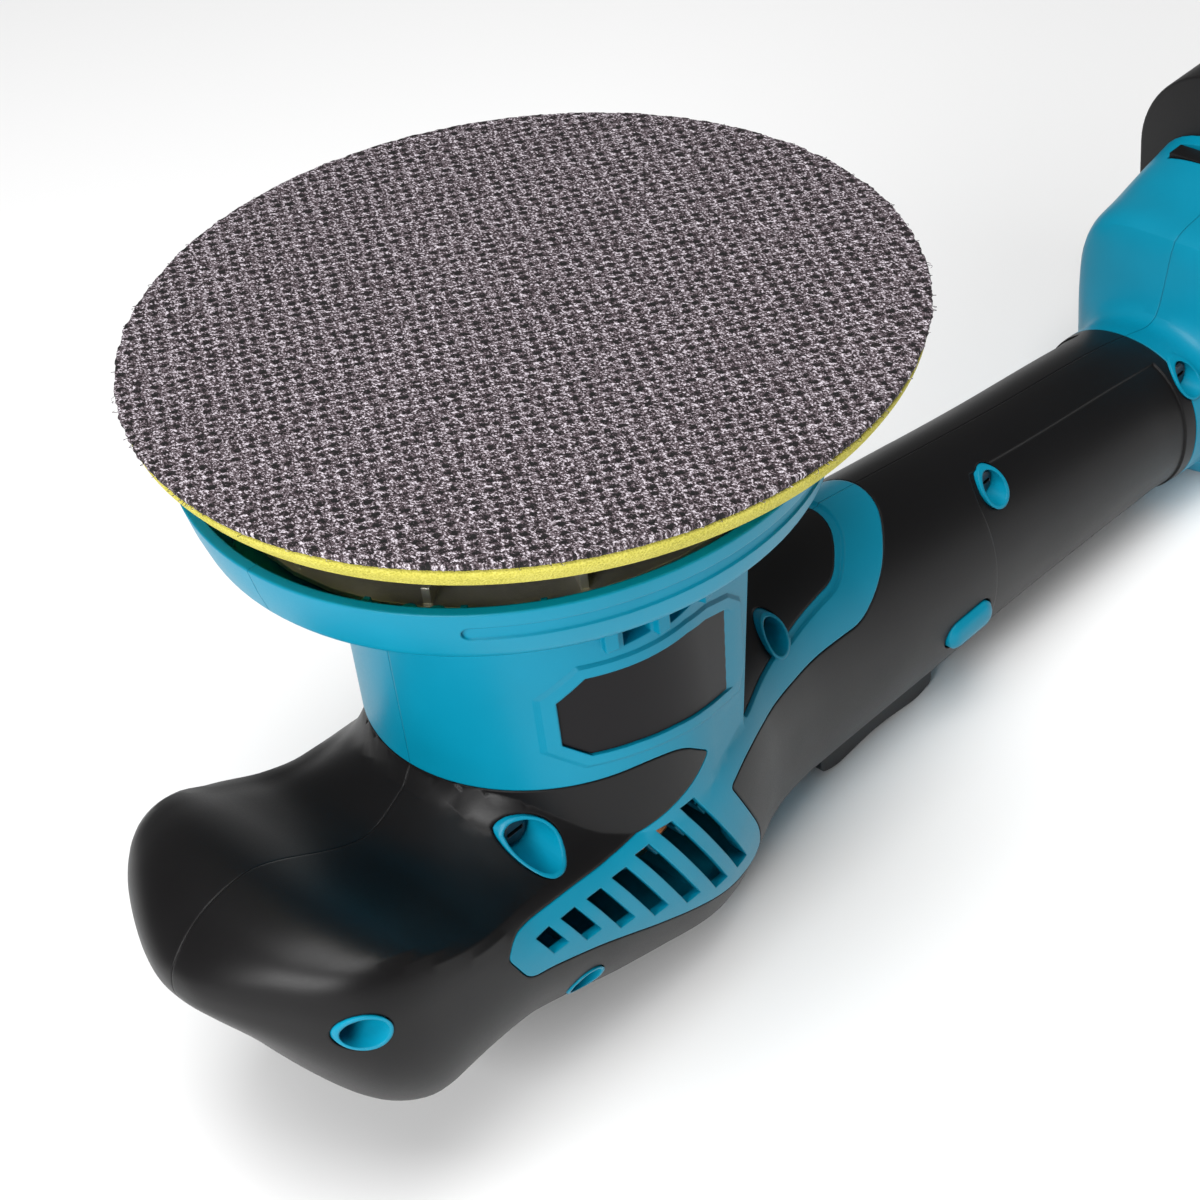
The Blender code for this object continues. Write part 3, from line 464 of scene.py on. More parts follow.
# ---- materials ---------------------------------------------------------------------------------
class Nodes:
    """Small helper that lays out one material's node tree."""

    def __init__(self, name, roughness=0.5, metallic=0.0, **sockets):
        self.mat = bpy.data.materials.new(name)
        self.mat.use_nodes = True
        self.tree = self.mat.node_tree
        self.shader = self.tree.nodes["Principled BSDF"]
        self.shader.inputs["Roughness"].default_value = roughness
        self.shader.inputs["Metallic"].default_value = metallic
        for key, value in sockets.items():
            self.shader.inputs[key.replace("_", " ")].default_value = value
        self.place = self.add("ShaderNodeTexCoord").outputs["Object"]

    def add(self, kind, **values):
        node = self.tree.nodes.new(kind)
        for key, value in values.items():
            setattr(node, key, value)
        return node

    def link(self, a, b):
        self.tree.links.new(a, b)

    def noise(self, scale, detail=3.0, rough=0.55, vector=None):
        node = self.add("ShaderNodeTexNoise")
        node.inputs["Scale"].default_value = scale
        node.inputs["Detail"].default_value = detail
        node.inputs["Roughness"].default_value = rough
        self.link(vector or self.place, node.inputs["Vector"])
        return node.outputs["Fac"]

    def voronoi(self, scale, vector=None, randomness=1.0):
        node = self.add("ShaderNodeTexVoronoi", feature="F1")
        node.inputs["Scale"].default_value = scale
        node.inputs["Randomness"].default_value = randomness
        self.link(vector or self.place, node.inputs["Vector"])
        return node

    def ramp(self, source, stops):
        node = self.add("ShaderNodeValToRGB")
        ramp = node.color_ramp
        while len(ramp.elements) < len(stops):
            ramp.elements.new(0.5)
        for element, (at, color) in zip(ramp.elements, stops):
            element.position = at
            element.color = (*color, 1.0)
        self.link(source, node.inputs["Fac"])
        return node.outputs["Color"]

    def span(self, source, low, high, to_low, to_high):
        node = self.add("ShaderNodeMapRange")
        for key, value in (("From Min", low), ("From Max", high), ("To Min", to_low), ("To Max", to_high)):
            node.inputs[key].default_value = value
        self.link(source, node.inputs["Value"])
        return node.outputs["Result"]

    def math(self, how, a, b=None, c=None):
        node = self.add("ShaderNodeMath", operation=how)
        for socket, value in zip(node.inputs, (a, b, c)):
            if value is None:
                continue
            if isinstance(value, (int, float)):
                socket.default_value = value
            else:
                self.link(value, socket)
        return node.outputs[0]

    def scaled(self, scale, rotation=(0, 0, 0)):
        node = self.add("ShaderNodeMapping")
        node.inputs["Scale"].default_value = scale
        node.inputs["Rotation"].default_value = rotation
        self.link(self.place, node.inputs["Vector"])
        return node.outputs["Vector"]

    def relief(self, height, distance, strength=1.0, edge=0.0):
        """Bump from a height, over edges rounded by edge metres."""
        node = self.add("ShaderNodeBump")
        node.inputs["Strength"].default_value = strength
        node.inputs["Distance"].default_value = distance
        self.link(height, node.inputs["Height"])
        if edge:
            soft = self.add("ShaderNodeBevel", samples=6)
            soft.inputs["Radius"].default_value = edge
            self.link(soft.outputs["Normal"], node.inputs["Normal"])
        self.link(node.outputs["Normal"], self.shader.inputs["Normal"])

    def color(self, source):
        self.link(source, self.shader.inputs["Base Color"])

    def rough(self, source):
        self.link(source, self.shader.inputs["Roughness"])


def tinted(color, by):
    """Colour made lighter or darker."""
    return tuple(min(1.0, c * by) for c in color)


def moulded(name, color, roughness, grain, depth, edge, **sockets):
    """Moulded plastic or rubber: fine spark-eroded grain, slight colour and gloss drift."""
    spread = 0.06
    m = Nodes(name, roughness, 0.0, **sockets)
    drift = m.noise(38.0, 3.0)
    m.color(m.ramp(drift, ((0.3, tinted(color, 1 - spread)), (0.7, tinted(color, 1 + spread)))))
    fine = m.noise(grain, 2.0, 0.6)
    gloss = m.math("ADD", m.math("MULTIPLY", drift, 0.5), m.math("MULTIPLY", fine, 0.5))
    m.rough(m.span(gloss, 0.3, 0.7, roughness - 0.05, roughness + 0.06))
    m.relief(fine, depth, 0.6, edge)
    return m.mat


def metal(name, color, roughness, brush=(60.0, 60.0, 1400.0)):
    """Bare metal with fine lines across its Z axis."""
    m = Nodes(name, roughness, 1.0)
    lines = m.noise(1.0, 3.0, 0.6, m.scaled(brush))
    patch = m.noise(90.0, 3.0)
    m.color(m.ramp(patch, ((0.3, tinted(color, 0.86)), (0.7, tinted(color, 1.1)))))
    m.rough(m.span(lines, 0.3, 0.7, roughness - 0.07, roughness + 0.1))
    m.relief(lines, 0.00002, 0.5, 0.0003)
    return m.mat


def cast(name, color, roughness):
    """Sand-cast metal."""
    m = Nodes(name, roughness, 0.85)
    sand = m.noise(900.0, 4.0, 0.65)
    patch = m.noise(60.0, 3.0)
    m.color(m.ramp(patch, ((0.3, tinted(color, 0.8)), (0.7, tinted(color, 1.12)))))
    m.rough(m.span(sand, 0.3, 0.7, roughness - 0.06, roughness + 0.12))
    m.relief(sand, 0.00012, 0.7, 0.0004)
    return m.mat


def foam_material():
    """Yellow foam with closed cells, darker in the cell pits as painted shade."""
    m = Nodes("foam_yellow", 0.85, 0.0, Specular_IOR_Level=0.25)
    cells = m.voronoi(2400.0)
    broad = m.noise(160.0, 3.0)
    height = m.math("ADD", cells.outputs["Distance"], m.math("MULTIPLY", broad, 0.8))
    # colour follows the relief: painted shade darkens the cell pits, and the broad noise adds a random tone
    m.color(m.ramp(m.math("MULTIPLY", height, 0.7),
                   ((0.2, (0.32, 0.29, 0.036)), (0.55, (0.49, 0.445, 0.072)), (0.9, (0.58, 0.53, 0.11)))))
    m.relief(height, 0.00018, 0.7)
    return m.mat


def abrasive_material():
    """Knitted abrasive mesh: a slanting lattice of loops, with painted shade in the hole of each loop and a
    painted highlight on one side of it.
    """
    m = Nodes("abrasive_mesh", 0.75, 0.0, Specular_IOR_Level=0.35)
    sway = m.add("ShaderNodeTexNoise")
    sway.inputs["Scale"].default_value = 330.0
    sway.inputs["Detail"].default_value = 3.0
    m.link(m.place, sway.inputs["Vector"])
    lattice = m.add("ShaderNodeCombineXYZ")
    for socket, wave in (("X", (-302.0, 188.0, 0.0)), ("Y", (229.0, 365.0, 0.0))):
        along = m.add("ShaderNodeVectorMath", operation="DOT_PRODUCT")
        m.link(m.place, along.inputs[0])
        along.inputs[1].default_value = wave
        m.link(along.outputs["Value"], lattice.inputs[socket])
    bend = m.add("ShaderNodeVectorMath", operation="MULTIPLY_ADD")
    m.link(sway.outputs["Color"], bend.inputs[0])
    bend.inputs[1].default_value = (0.4, 0.4, 0.0)
    m.link(lattice.outputs["Vector"], bend.inputs[2])
    # offset lattice that places a painted highlight on one side of each loop
    highlight_offset = m.add("ShaderNodeVectorMath", operation="ADD")
    m.link(bend.outputs["Vector"], highlight_offset.inputs[0])
    highlight_offset.inputs[1].default_value = (-0.3, 0.33, 0.0)
    hole = m.voronoi(1.0, bend.outputs["Vector"], 0.3).outputs["Distance"]
    highlight_distance = m.voronoi(1.0, highlight_offset.outputs["Vector"], 0.3).outputs["Distance"]
    # painted shade: darkens the hole of each loop; the same mask also deepens the relief
    hole_shade_and_depth = m.span(hole, 0.12, 0.42, 1.0, 0.0)
    # painted highlight: lightens one side of each loop
    side_highlight = m.span(highlight_distance, 0.08, 0.36, 1.0, 0.0)
    fibre = m.noise(1.0, 2.0, 0.7, m.scaled((2500.0, 1500.0, 1.0), (0.0, 0.0, 0.6)))
    grit = m.noise(3200.0, 2.0, 0.75)
    mixed = m.math("ADD", m.math("MULTIPLY", fibre, 0.6), m.math("MULTIPLY", grit, 0.4))
    tone = m.math("MULTIPLY_ADD", hole_shade_and_depth, -0.15, mixed)
    tone = m.math("MULTIPLY_ADD", side_highlight, 0.055, tone)
    # the darkest stops are painted shade in the holes; the lightest stop carries the painted highlight
    m.color(m.ramp(tone, (
        (0.39, (0.0006, 0.0004, 0.0006)), (0.44, (0.012, 0.007, 0.009)), (0.49, (0.060, 0.040, 0.048)),
        (0.54, (0.16, 0.13, 0.145)), (0.595, (0.62, 0.57, 0.62)))))
    height = m.math("ADD", m.math("MULTIPLY", tone, 1.4), m.math("MULTIPLY", hole_shade_and_depth, -0.3))
    m.relief(height, 0.0006, 0.75)
    return m.mat


TEAL = (0.0004, 0.215, 0.335)
BLACK = (0.0036, 0.0033, 0.0036)
TEAL_MAT = moulded("teal_moulding", TEAL, 0.36, 2400.0, 0.00003, 0.0005, Specular_IOR_Level=0.2)
GRIP_MAT = moulded("soft_grip", BLACK, 0.40, 3000.0, 0.00002, 0.0007, Specular_IOR_Level=0.22)
PLATE_MAT = moulded("plate_black", (0.009, 0.0082, 0.009), 0.4, 5200.0, 0.00003, 0.0002,
                    Specular_IOR_Level=0.12)
PACK_MAT = moulded("pack_black", (0.008, 0.0076, 0.008), 0.42, 1900.0, 0.00004, 0.0006,
                   Specular_IOR_Level=0.25)
PART_MAT = moulded("part_black", (0.016, 0.016, 0.017), 0.45, 2200.0, 0.00003, 0.0004)
BOARD_MAT = moulded("circuit_board", (0.012, 0.11, 0.045), 0.35, 900.0, 0.00005, 0.0002)
SLEEVE_MAT = moulded("cell_sleeve", (0.03, 0.16, 0.42), 0.28, 700.0, 0.00002, 0.0003)
STEEL_MAT = metal("ground_steel", (0.58, 0.58, 0.60), 0.28)
SCREW_MAT = metal("black_steel", (0.09, 0.09, 0.10), 0.36)
BRASS_MAT = metal("contact_brass", (0.78, 0.60, 0.28), 0.25)
ALLOY_MAT = cast("cast_alloy", (0.46, 0.45, 0.40), 0.45)
IRON_MAT = cast("balance_iron", (0.30, 0.29, 0.23), 0.5)
CORE_MAT = metal("core_sheets", (0.22, 0.22, 0.24), 0.42, (40.0, 40.0, 9000.0))
COPPER_MAT = metal("copper_wire", (0.72, 0.26, 0.10), 0.3, (40.0, 40.0, 5200.0))
FOAM_MAT = foam_material()
DISC_MAT = abrasive_material()

SLOT_MATS = {
    "teal_shell": TEAL_MAT, "soft_grip": GRIP_MAT, "dark_plate": PLATE_MAT, "abrasive_sheet": DISC_MAT,
    "pad_foam": FOAM_MAT, "pad_plate": PART_MAT, "bright_steel": STEEL_MAT, "dark_steel": SCREW_MAT,
    "cast_alloy": ALLOY_MAT, "balance_iron": IRON_MAT, "core_steel": CORE_MAT, "copper_wire": COPPER_MAT,
    "black_plastic": PART_MAT, "circuit_board": BOARD_MAT, "contact_brass": BRASS_MAT,
    "battery_plastic": PACK_MAT, "cell_sleeve": SLEEVE_MAT,
}
for row in frame["record"]["subparts"]:
    node = frame["nodes"][row["node"]]
    for place in node.material_slots:
        place.link = "OBJECT"
        place.material = SLOT_MATS[row["material_slot"]]


# ---- housing -----------------------------------------------------------------------------------
def neck(name, grow=0.0):
    """Round neck with a straight-sided root towards the handle."""
    rings = []
    for step in range(25):
        t = step / 24
        z = -104.0 + (104.0 - 32.6) * t
        rear = float(np.interp(z, (-104.0, -90.0, -60.0, -32.6), (24.0, 26.0, 30.2, 34.0)))
        r = NECK_R + grow
        ring = []
        for i in range(61):
            a = math.radians(74 + 212 * i / 60)
            ring.append((r * math.cos(a), r * math.sin(a), z))
        for x, y in ((rear - 3.0, -31.8), (rear - 1.2, -31.4), (rear - 0.3, -30.4), (rear, -29.0),
                     (rear + 1.0, -10), (rear + 1.0, 10), (rear, 29.0), (rear - 0.3, 30.4),
                     (rear - 1.2, 31.4), (rear - 3.0, 31.8)):
            ring.append((x + grow, y + math.copysign(grow, y), z))
        rings.append(ring)
    return skin_rings(name, rings)


def shroud(name):
    """Flared skirt round the fan, with a flat rim."""
    profile = ((0.0, -52.0), (37.0, -52.0), (37.6, -45.0), (41.0, -37.0), (57.5, -32.2), (60.4, -30.6),
               (62.2, -24.5), (RIM_R, RIM_Z), (RIM_R - 3.2, RIM_Z), (0.0, RIM_Z))
    radii = (0, 0.4, 3.0, 5.0, 3.0, 1.6, 0, 0.5, 0, 0)
    return lathe(name, fillet(profile, radii), 128)


def envelope():
    """Outside of the whole housing."""
    outer = body("envelope")
    add(outer, neck("neck"))
    add(outer, shroud("shroud"))
    return outer


def ring_posts(grow, far):
    """Columns round the screws, from beyond the right side to far."""
    return [rod("column", size + grow, -70.0, far, 40, (x, z), "Y")
            for size, (x, z, _) in zip(RING_SIZES, SCREWS)]


def soft_room(name, outline):
    """The shallow seat of a soft grip or panel."""
    mask = prism(name, soften(outline), -FAR, FAR)
    cut(mask, body("inner", SKIN))
    for post in ring_posts(0.0, -10.0):
        cut(mask, post)
    if outline is NOSE_GRIP:
        cut(mask, rod("neck_core", NECK_SEAT_R, -110.0, -60.0, 64))
    if outline is ARCH_PANEL:
        cut(mask, neck("neck_keep"))
    return mask


def hollow():
    """The inside of the housing, less the ribs and columns left standing."""
    room = body("room", WALL, BASE_X - 12.0)
    well = rod("well", WELL_R, WELL_LOW, WELL_TOP, 48)
    cut(well, prism("rear_wall", REAR_WALL, -40.0, 40.0))
    add(room, well)
    add(room, lathe("dish", ((0.0, -30.0), (34.6, -30.1), (56.5, -29.0), (59.2, -27.2), (60.6, -23.5),
                             (61.4, RIM_Z + 2), (61.4, RIM_Z + 8), (0.0, RIM_Z + 8)), 128))
    for post in ring_posts(-0.2, 70.0):
        cut(room, post)
    for z0, z1 in ((-91.0, -87.0), (-112.0, -108.0)):
        cut(room, lathe("saddle", ((25.8, z0), (50.0, z0), (50.0, z1), (25.8, z1)), 48))
    seat = box("seat", -45.0, 45.0, -45.0, 45.0, -139.0, -133.0)
    cut(seat, rod("bore", 11.3, -145.0, -130.0, 32))
    cut(room, seat)
    return room


def groove(side):
    """Long shallow recess in the skirt, with a round front end."""
    rings = []
    half, mid, wall = 1.7, -23.9, 62.25
    runs = [half * (1 - math.cos(math.radians(a))) for a in range(6, 91, 12)]
    runs += [half + 3.0 * i for i in range(1, 27)]
    for run in runs:
        a = math.radians(-142.0 + math.degrees(run / wall)) * -side
        width = math.sqrt(max(0.0, half ** 2 - max(0.0, half - run) ** 2))
        floor = wall - 0.75
        ring = []
        for r, dz in ((68.0, -width - 0.35), (wall - 0.1, -width), (floor, -width * 0.8),
                      (floor + 0.1, width * 0.8), (wall + 0.5, width), (68.0, width + 0.35)):
            ring.append((r * math.cos(a), r * math.sin(a), mid + dz))
        rings.append(ring)
    return skin_rings("groove", rings)


def wedge(name, angle, r0, r1, wide, z0, z1):
    """Block across a radius, for a vent, a tab or a rib."""
    block = box(name, r0, r1, -wide / 2, wide / 2, z0, z1)
    block.data.transform(Matrix.Rotation(math.radians(angle), 4, "Z"))
    return block


def skirt_details(whole):
    """Vents and square tabs on the neck under the skirt, ribs and bosses inside its wall."""
    for side in (-1, 1):
        for angle, wide, low, high in VENTS:
            cut(whole, wedge("vent", side * angle, 31.0, 41.0, wide, low, high))
        for angle, low, high in TABS:
            add(whole, wedge("tab", side * angle, 35.5, 39.3, 2.8, low, high))
        for angle in (20, 47, 74, 128, 142, 160):
            add(whole, wedge("rib", side * angle, 56.2, 60.8, 1.2, -28.6, -22.2))
        for angle in (151.5, 146.5, 60.0):
            a = math.radians(side * angle)
            add(whole, rod("boss", 1.7, -29.0, -22.0, 20, (58.2 * math.cos(a), 58.2 * math.sin(a))))


def shell(outer):
    """Both halves of the housing in one, before they are split."""
    whole = clone(outer, "housing")
    cut(whole, soft_room("nose", NOSE_GRIP))
    cut(whole, soft_room("handle", HANDLE_GRIP))
    cut(whole, soft_room("panel", ARCH_PANEL))
    # screw rings stand a little proud of the grips
    lips = body("lips", -0.35)
    posts = ring_posts(0.0, -10.0)
    bundle = posts[0]
    for post in posts[1:]:
        add(bundle, post)
    keep(lips, bundle)
    add(whole, lips)
    # raised frame round the badge, in fine steps so that its edge is chamfered
    for by, height in ((-2.95, 0.1), (-2.75, 0.2), (-2.55, 0.3), (-2.35, 0.4)):
        rim = prism("badge_frame", shrink(BADGE, by), -FAR, FAR)
        keep(rim, neck("neck_frame", height))
        cut(rim, box("frame_end", 24.6, 60.0, -FAR, FAR, -110.0, -40.0))
        cut(rim, soft_room("panel_room", ARCH_PANEL))
        add(whole, rim)
    # ledge between the stripe and the panel of the arch
    ledge = prism("ledge", shrink(soften(ARCH_PANEL), -1.3), -FAR, FAR)
    cut(ledge, body("ledge_floor", 0.75))
    cut(ledge, box("strip", 0.0, 49.0, -FAR, FAR, -120.0, -40.0))
    cut(ledge, neck("ledge_neck"))
    cut(ledge, rod("ring_keep", RING_SIZES[ROOT] + 0.8, -70.0, -10.0, 32, SCREWS[ROOT][:2], "Y"))
    cut(whole, ledge)
    cut(whole, hollow())
    skirt_details(whole)
    # thin wall behind the grille
    pocket = prism("pocket", GRILLE_POCKET, -60.0, 60.0)
    keep(pocket, body("pocket_limit", 2.0))
    cut(pocket, rod("pocket_core", WELL_R, WELL_LOW, WELL_TOP, 48))
    cut(whole, pocket)
    for side in (-1, 1):
        cut(whole, groove(side))
    for sx, z_top, z_low in SLOTS:
        lean = (z_top - z_low) * SLOT_LEAN
        outline = ((sx - SLOT_W / 2, z_top), (sx + SLOT_W / 2, z_top), (sx + SLOT_W / 2 + lean, z_low),
                   (sx - SLOT_W / 2 + lean, z_low))
        for y0, y1 in ((-60.0, -26.5), (26.5, 60.0)):
            cut(whole, prism("slot", outline, y0, y1))
    badge_room = prism("badge_room", BADGE, -FAR, FAR)
    cut(badge_room, neck("neck_core", -BADGE_DEPTH))
    cut(whole, badge_room)
    cut(whole, box("trigger_mouth", 69.0, 113.0, -9.2, 9.2, -170.0, -148.0))
    cut(whole, box("dial_slot", 166.0, 190.0, -3.8, 3.8, -170.0, -146.0))
    cut(whole, box("rail_neck", BASE_X - 4.0, BASE_X + 5.0, -14.3, 14.3, -151.0, -70.0))
    cut(whole, box("rail_head", BASE_X - 9.5, BASE_X - 3.5, -20.3, 20.3, -151.0, -70.0))
    cut(whole, box("terminal_room", BASE_X - 9.0, BASE_X - 3.8, -19.5, 19.5, -158.0, -150.0))
    return whole


def stadium(x, z, half_x, half_z):
    """Side outline with round ends."""
    outline = []
    for i in range(32):
        a = 2 * math.pi * (i + 0.5) / 32
        cx = math.copysign(half_x - half_z, math.cos(a))
        outline.append((x + cx + half_z * math.cos(a), z + half_z * math.sin(a)))
    return tuple(outline)


def lock_outline(grow):
    """Outline of the lock button, or of a hole for it."""
    return stadium(LOCK_X, LOCK_Z, LOCK_HALF[0] + grow, LOCK_HALF[1] + grow)


def build_screw_holes(half, side):
    """Head rooms behind the rings on the right, pilot holes on the left."""
    for size, (x, z, seat_y) in zip(RING_SIZES, SCREWS):
        if side < 0:
            profile = ((0.0, -80.0), (size - 0.6, -80.0), (size - 0.65, -20.0), (3.3, seat_y), (0.0, seat_y))
            cut(half, rod("bore", 1.8, seat_y - 1.0, 5.0, 12, (x, z), "Y"))
            cut(half, lathe("head_room", profile, 40, (x, z), "Y"))
        else:
            cut(half, rod("pilot", 1.8, -5.0, 13.0, 12, (x, z), "Y"))


def build_grip(word, side, kind, outline, holes, outer, inner):
    """One soft grip or panel on one side."""
    low, high = (-90.0, -SEAM) if side < 0 else (SEAM, 90.0)
    piece = prism(word + "_" + kind + "_skin", shrink(soften(outline), GAP), low, high)
    keep(piece, clone(outer, "limit"))
    cut(piece, clone(inner, "inner_copy"))
    for i in holes if side < 0 else ():
        cut(piece, rod("ring_gap", RING_SIZES[i] + 0.25, low, high, 40, SCREWS[i][:2], "Y"))
    if kind == "nose_grip":
        cut(piece, rod("neck_core", NECK_SEAT_R + GAP, -110.0, -60.0, 64))
    if kind == "handle_grip":
        inset = prism("inset", soften(SIDE_PANEL, 1.0), *((-60.0, -11.0) if side < 0 else (11.0, 60.0)))
        cut(inset, body("inset_floor", 0.45))
        cut(piece, inset)
        cut(piece, box("dial_slot", 165.7, 190.3, -4.1, 4.1, -170.0, -146.0))
        if side < 0:
            cut(piece, prism("lock_gap", lock_outline(0.6), -40.0, -10.0))
    if kind == "arch_panel":
        keep(piece, body("panel_face", 0.55))
        cut(piece, neck("neck_gap", GAP))
        cut(piece, box("under_shroud", -80, 66, -90, 90, -78, 0))
    finish_piece(piece, GRIP_MAT, "housing", (word + "_" + kind,), 20.0)


def build_badge(word, side):
    """Blank plate in the frame on the neck."""
    badge = prism(word + "_badge_plate", shrink(BADGE, GAP), *((-90.0, -GAP) if side < 0 else (GAP, 90.0)))
    keep(badge, neck("neck_face", -0.1))
    cut(badge, neck("neck_core", GAP - BADGE_DEPTH))
    finish_piece(badge, PLATE_MAT, "housing", (word + "_badge",))


def build_housing():
    """Both halves with their soft parts and badges."""
    grips = (("nose_grip", NOSE_GRIP, (0, 1, 2)), ("handle_grip", HANDLE_GRIP, (4, 5)),
             ("arch_panel", ARCH_PANEL, (ROOT,)))
    outer = envelope()
    whole = shell(outer)
    inner = body("inner", SKIN - GAP)
    for word, side in (("right", -1), ("left", 1)):
        low, high = (-90.0, -SEAM) if side < 0 else (SEAM, 90.0)
        half = clone(whole, word + "_shell")
        keep(half, box("side", -130, 300, low, high, -200, 5))
        build_screw_holes(half, side)
        if side < 0:
            cut(half, prism("lock_bore", lock_outline(0.3), -40.0, -12.0))
        finish_piece(half, TEAL_MAT, "housing", (word + "_housing",))
        for kind, outline, holes in grips:
            build_grip(word, side, kind, outline, holes, outer, inner)
        build_badge(word, side)
    for obj in (outer, whole, inner):
        bpy.data.objects.remove(obj, do_unlink=True)


# ---- pad ---------------------------------------------------------------------------------------
def add_thread(mesh, rng):
    """One loose loop of yarn at the cut edge of the disc."""
    a = rng.uniform(0.0, 2 * math.pi)
    out, along, lift = rng.uniform(0.3, 1.0), rng.uniform(-1.3, 1.3), rng.uniform(-0.7, 0.25)
    radial, tangent = Vector((math.cos(a), math.sin(a), 0.0)), Vector((-math.sin(a), math.cos(a), 0.0))
    root = Vector((ORBIT[0], ORBIT[1], -0.6)) + radial * (DISC_R - 0.8)
    bm = bmesh.new()
    bm.from_mesh(mesh)
    last = None
    for i in range(7):
        t = i / 6
        spot = root + radial * (out + 0.5) * math.sin(math.pi * t * 0.8) + tangent * along * t
        spot.z += lift * t
        thick = 0.09 * (1.0 - 0.5 * t)
        ring = [bm.verts.new(spot + tangent * thick * math.cos(b) + Vector((0, 0, thick * math.sin(b))))
                for b in (0.0, 2.1, 4.2)]
        if last:
            for j in range(3):
                bm.faces.new((last[j], last[(j + 1) % 3], ring[(j + 1) % 3], ring[j]))
        last = ring
    bm.to_mesh(mesh)
    bm.free()


def build_disc():
    """Abrasive disc with a ragged edge and loose threads."""
    rng = np.random.default_rng(11)
    segments = 720
    ragged = rng.normal(0.0, 0.09, segments) + np.repeat(rng.normal(0.0, 0.1, segments // 4), 4)
    verts = [(ORBIT[0], ORBIT[1], 0.0), (ORBIT[0], ORBIT[1], -DISC_THICK)]
    faces = []
    circles = []
    edge = ((1.2, 0.0, 0.0), (0.15, -0.1, 1.0), (0.0, -0.6, 1.0), (0.25, -DISC_THICK, 0.5))
    for inset_by, z, share in edge:
        circle = []
        for i in range(segments):
            a = 2 * math.pi * i / segments
            r = DISC_R - 0.35 - inset_by + ragged[i] * share
            circle.append(len(verts))
            verts.append((ORBIT[0] + r * math.cos(a), ORBIT[1] + r * math.sin(a), z))
        circles.append(circle)
    for i in range(segments):
        k = (i + 1) % segments
        faces.append((0, circles[0][i], circles[0][k]))
        for low, high in zip(circles, circles[1:]):
            faces.append((low[i], high[i], high[k], low[k]))
        faces.append((1, circles[-1][k], circles[-1][i]))
    disc = make("abrasive_disc", verts, faces)
    for _ in range(110):
        add_thread(disc.data, rng)
    finish_piece(disc, DISC_MAT, "pad", ("sanding_disc",), 40.0)


def build_foam():
    """Foam pad under the disc, with a stepped edge."""
    profile = ((9.0, -1.6), (73.3, -1.6), (74.3, -2.1), (74.0, -3.4), (72.3, -6.0), (71.0, -7.0),
               (60.0, -9.4), (9.0, -9.4))
    foam = lathe("foam_disc", fillet(profile, (0, 0.5, 0.5, 1.0, 0.6, 1.0, 2.0, 0)), 160, ORBIT)
    finish_piece(foam, FOAM_MAT, "pad", ("foam_pad",))


# ---- controls and battery ------------------------------------------------------------------------
def build_trigger():
    """Paddle with its stem."""
    outline = ((70.5, -160.6), (76.0, -162.2), (90.0, -160.4), (106.0, -162.2), (111.5, -160.6),
               (111.5, -150.0), (70.5, -150.0))
    trigger = prism("trigger_lever", soften(outline, 2.0), -8.6, 8.6)
    add(trigger, box("stem", 86.5, 95.5, -3.4, 3.4, -151.0, -148.6))
    finish_piece(trigger, PART_MAT, "trigger", ("trigger",))


def build_lock():
    """Lock button with a rounded face."""
    button = skin_rings("lock_tab", [[(x, y, z) for x, z in lock_outline(-by)]
                                     for y, by in ((-14.0, 0.0), (-21.2, 0.0), (-22.1, 0.9), (-22.5, 2.2))])
    finish_piece(button, TEAL_MAT, "lock_button", ("lock_button",))


def build_dial():
    """Thumb wheel with a notched edge."""
    notches = 24
    reach = 10.9
    dial = lathe("speed_wheel", ((0.0, -3.4), (9.6, -3.4), (10.6, -2.6), (10.6, 2.6), (9.6, 3.4), (0.0, 3.4)),
                 72, (DIAL_X, DIAL_Z), "Y")
    for i in range(notches):
        a = 2 * math.pi * i / notches
        spot = (DIAL_X + reach * math.cos(a), DIAL_Z + reach * math.sin(a))
        cut(dial, rod("notch", 0.55, -5.0, 5.0, 8, spot, "Y"))
    finish_piece(dial, PART_MAT, "speed_dial", ("speed_dial",))


def battery_shell(name, x0, x1, c0, c1):
    """Half of the pack, hollow from c0 to c1; the outer half has a rounded end."""
    def ring(x, inset):
        half, top, bottom, r, low = 35.4 - inset, -71.0 - inset, -163.0 + inset, 25.0 - inset, 15.0 - inset
        out = []
        for cy, cz, q, a0 in ((half - r, top - r, r, 0), (-half + r, top - r, r, 90),
                              (-half + low, bottom + low, low, 180), (half - low, bottom + low, low, 270)):
            for i in range(17):
                a = math.radians(a0 + 90 * i / 16)
                out.append((x, cy + q * math.cos(a), cz + q * math.sin(a)))
        return out
    rings = [ring(x0, 0.8), ring(x0 + 0.25, 0.25), ring(x0 + 0.9, 0.0), ring(x1, 0.0)]
    if x1 == BATTERY_END_X:
        rings = [ring(x0, 0.0)]
        for i in range(11):
            a = math.radians(9 * i)
            rings.append(ring(x1 - 6.0 + 6.0 * math.sin(a), 6.0 - 6.0 * math.cos(a)))
    solid = skin_rings(name, rings)
    cut(solid, skin_rings("inside", [ring(c0, CELL_WALL), ring(c1, CELL_WALL)]))
    return solid


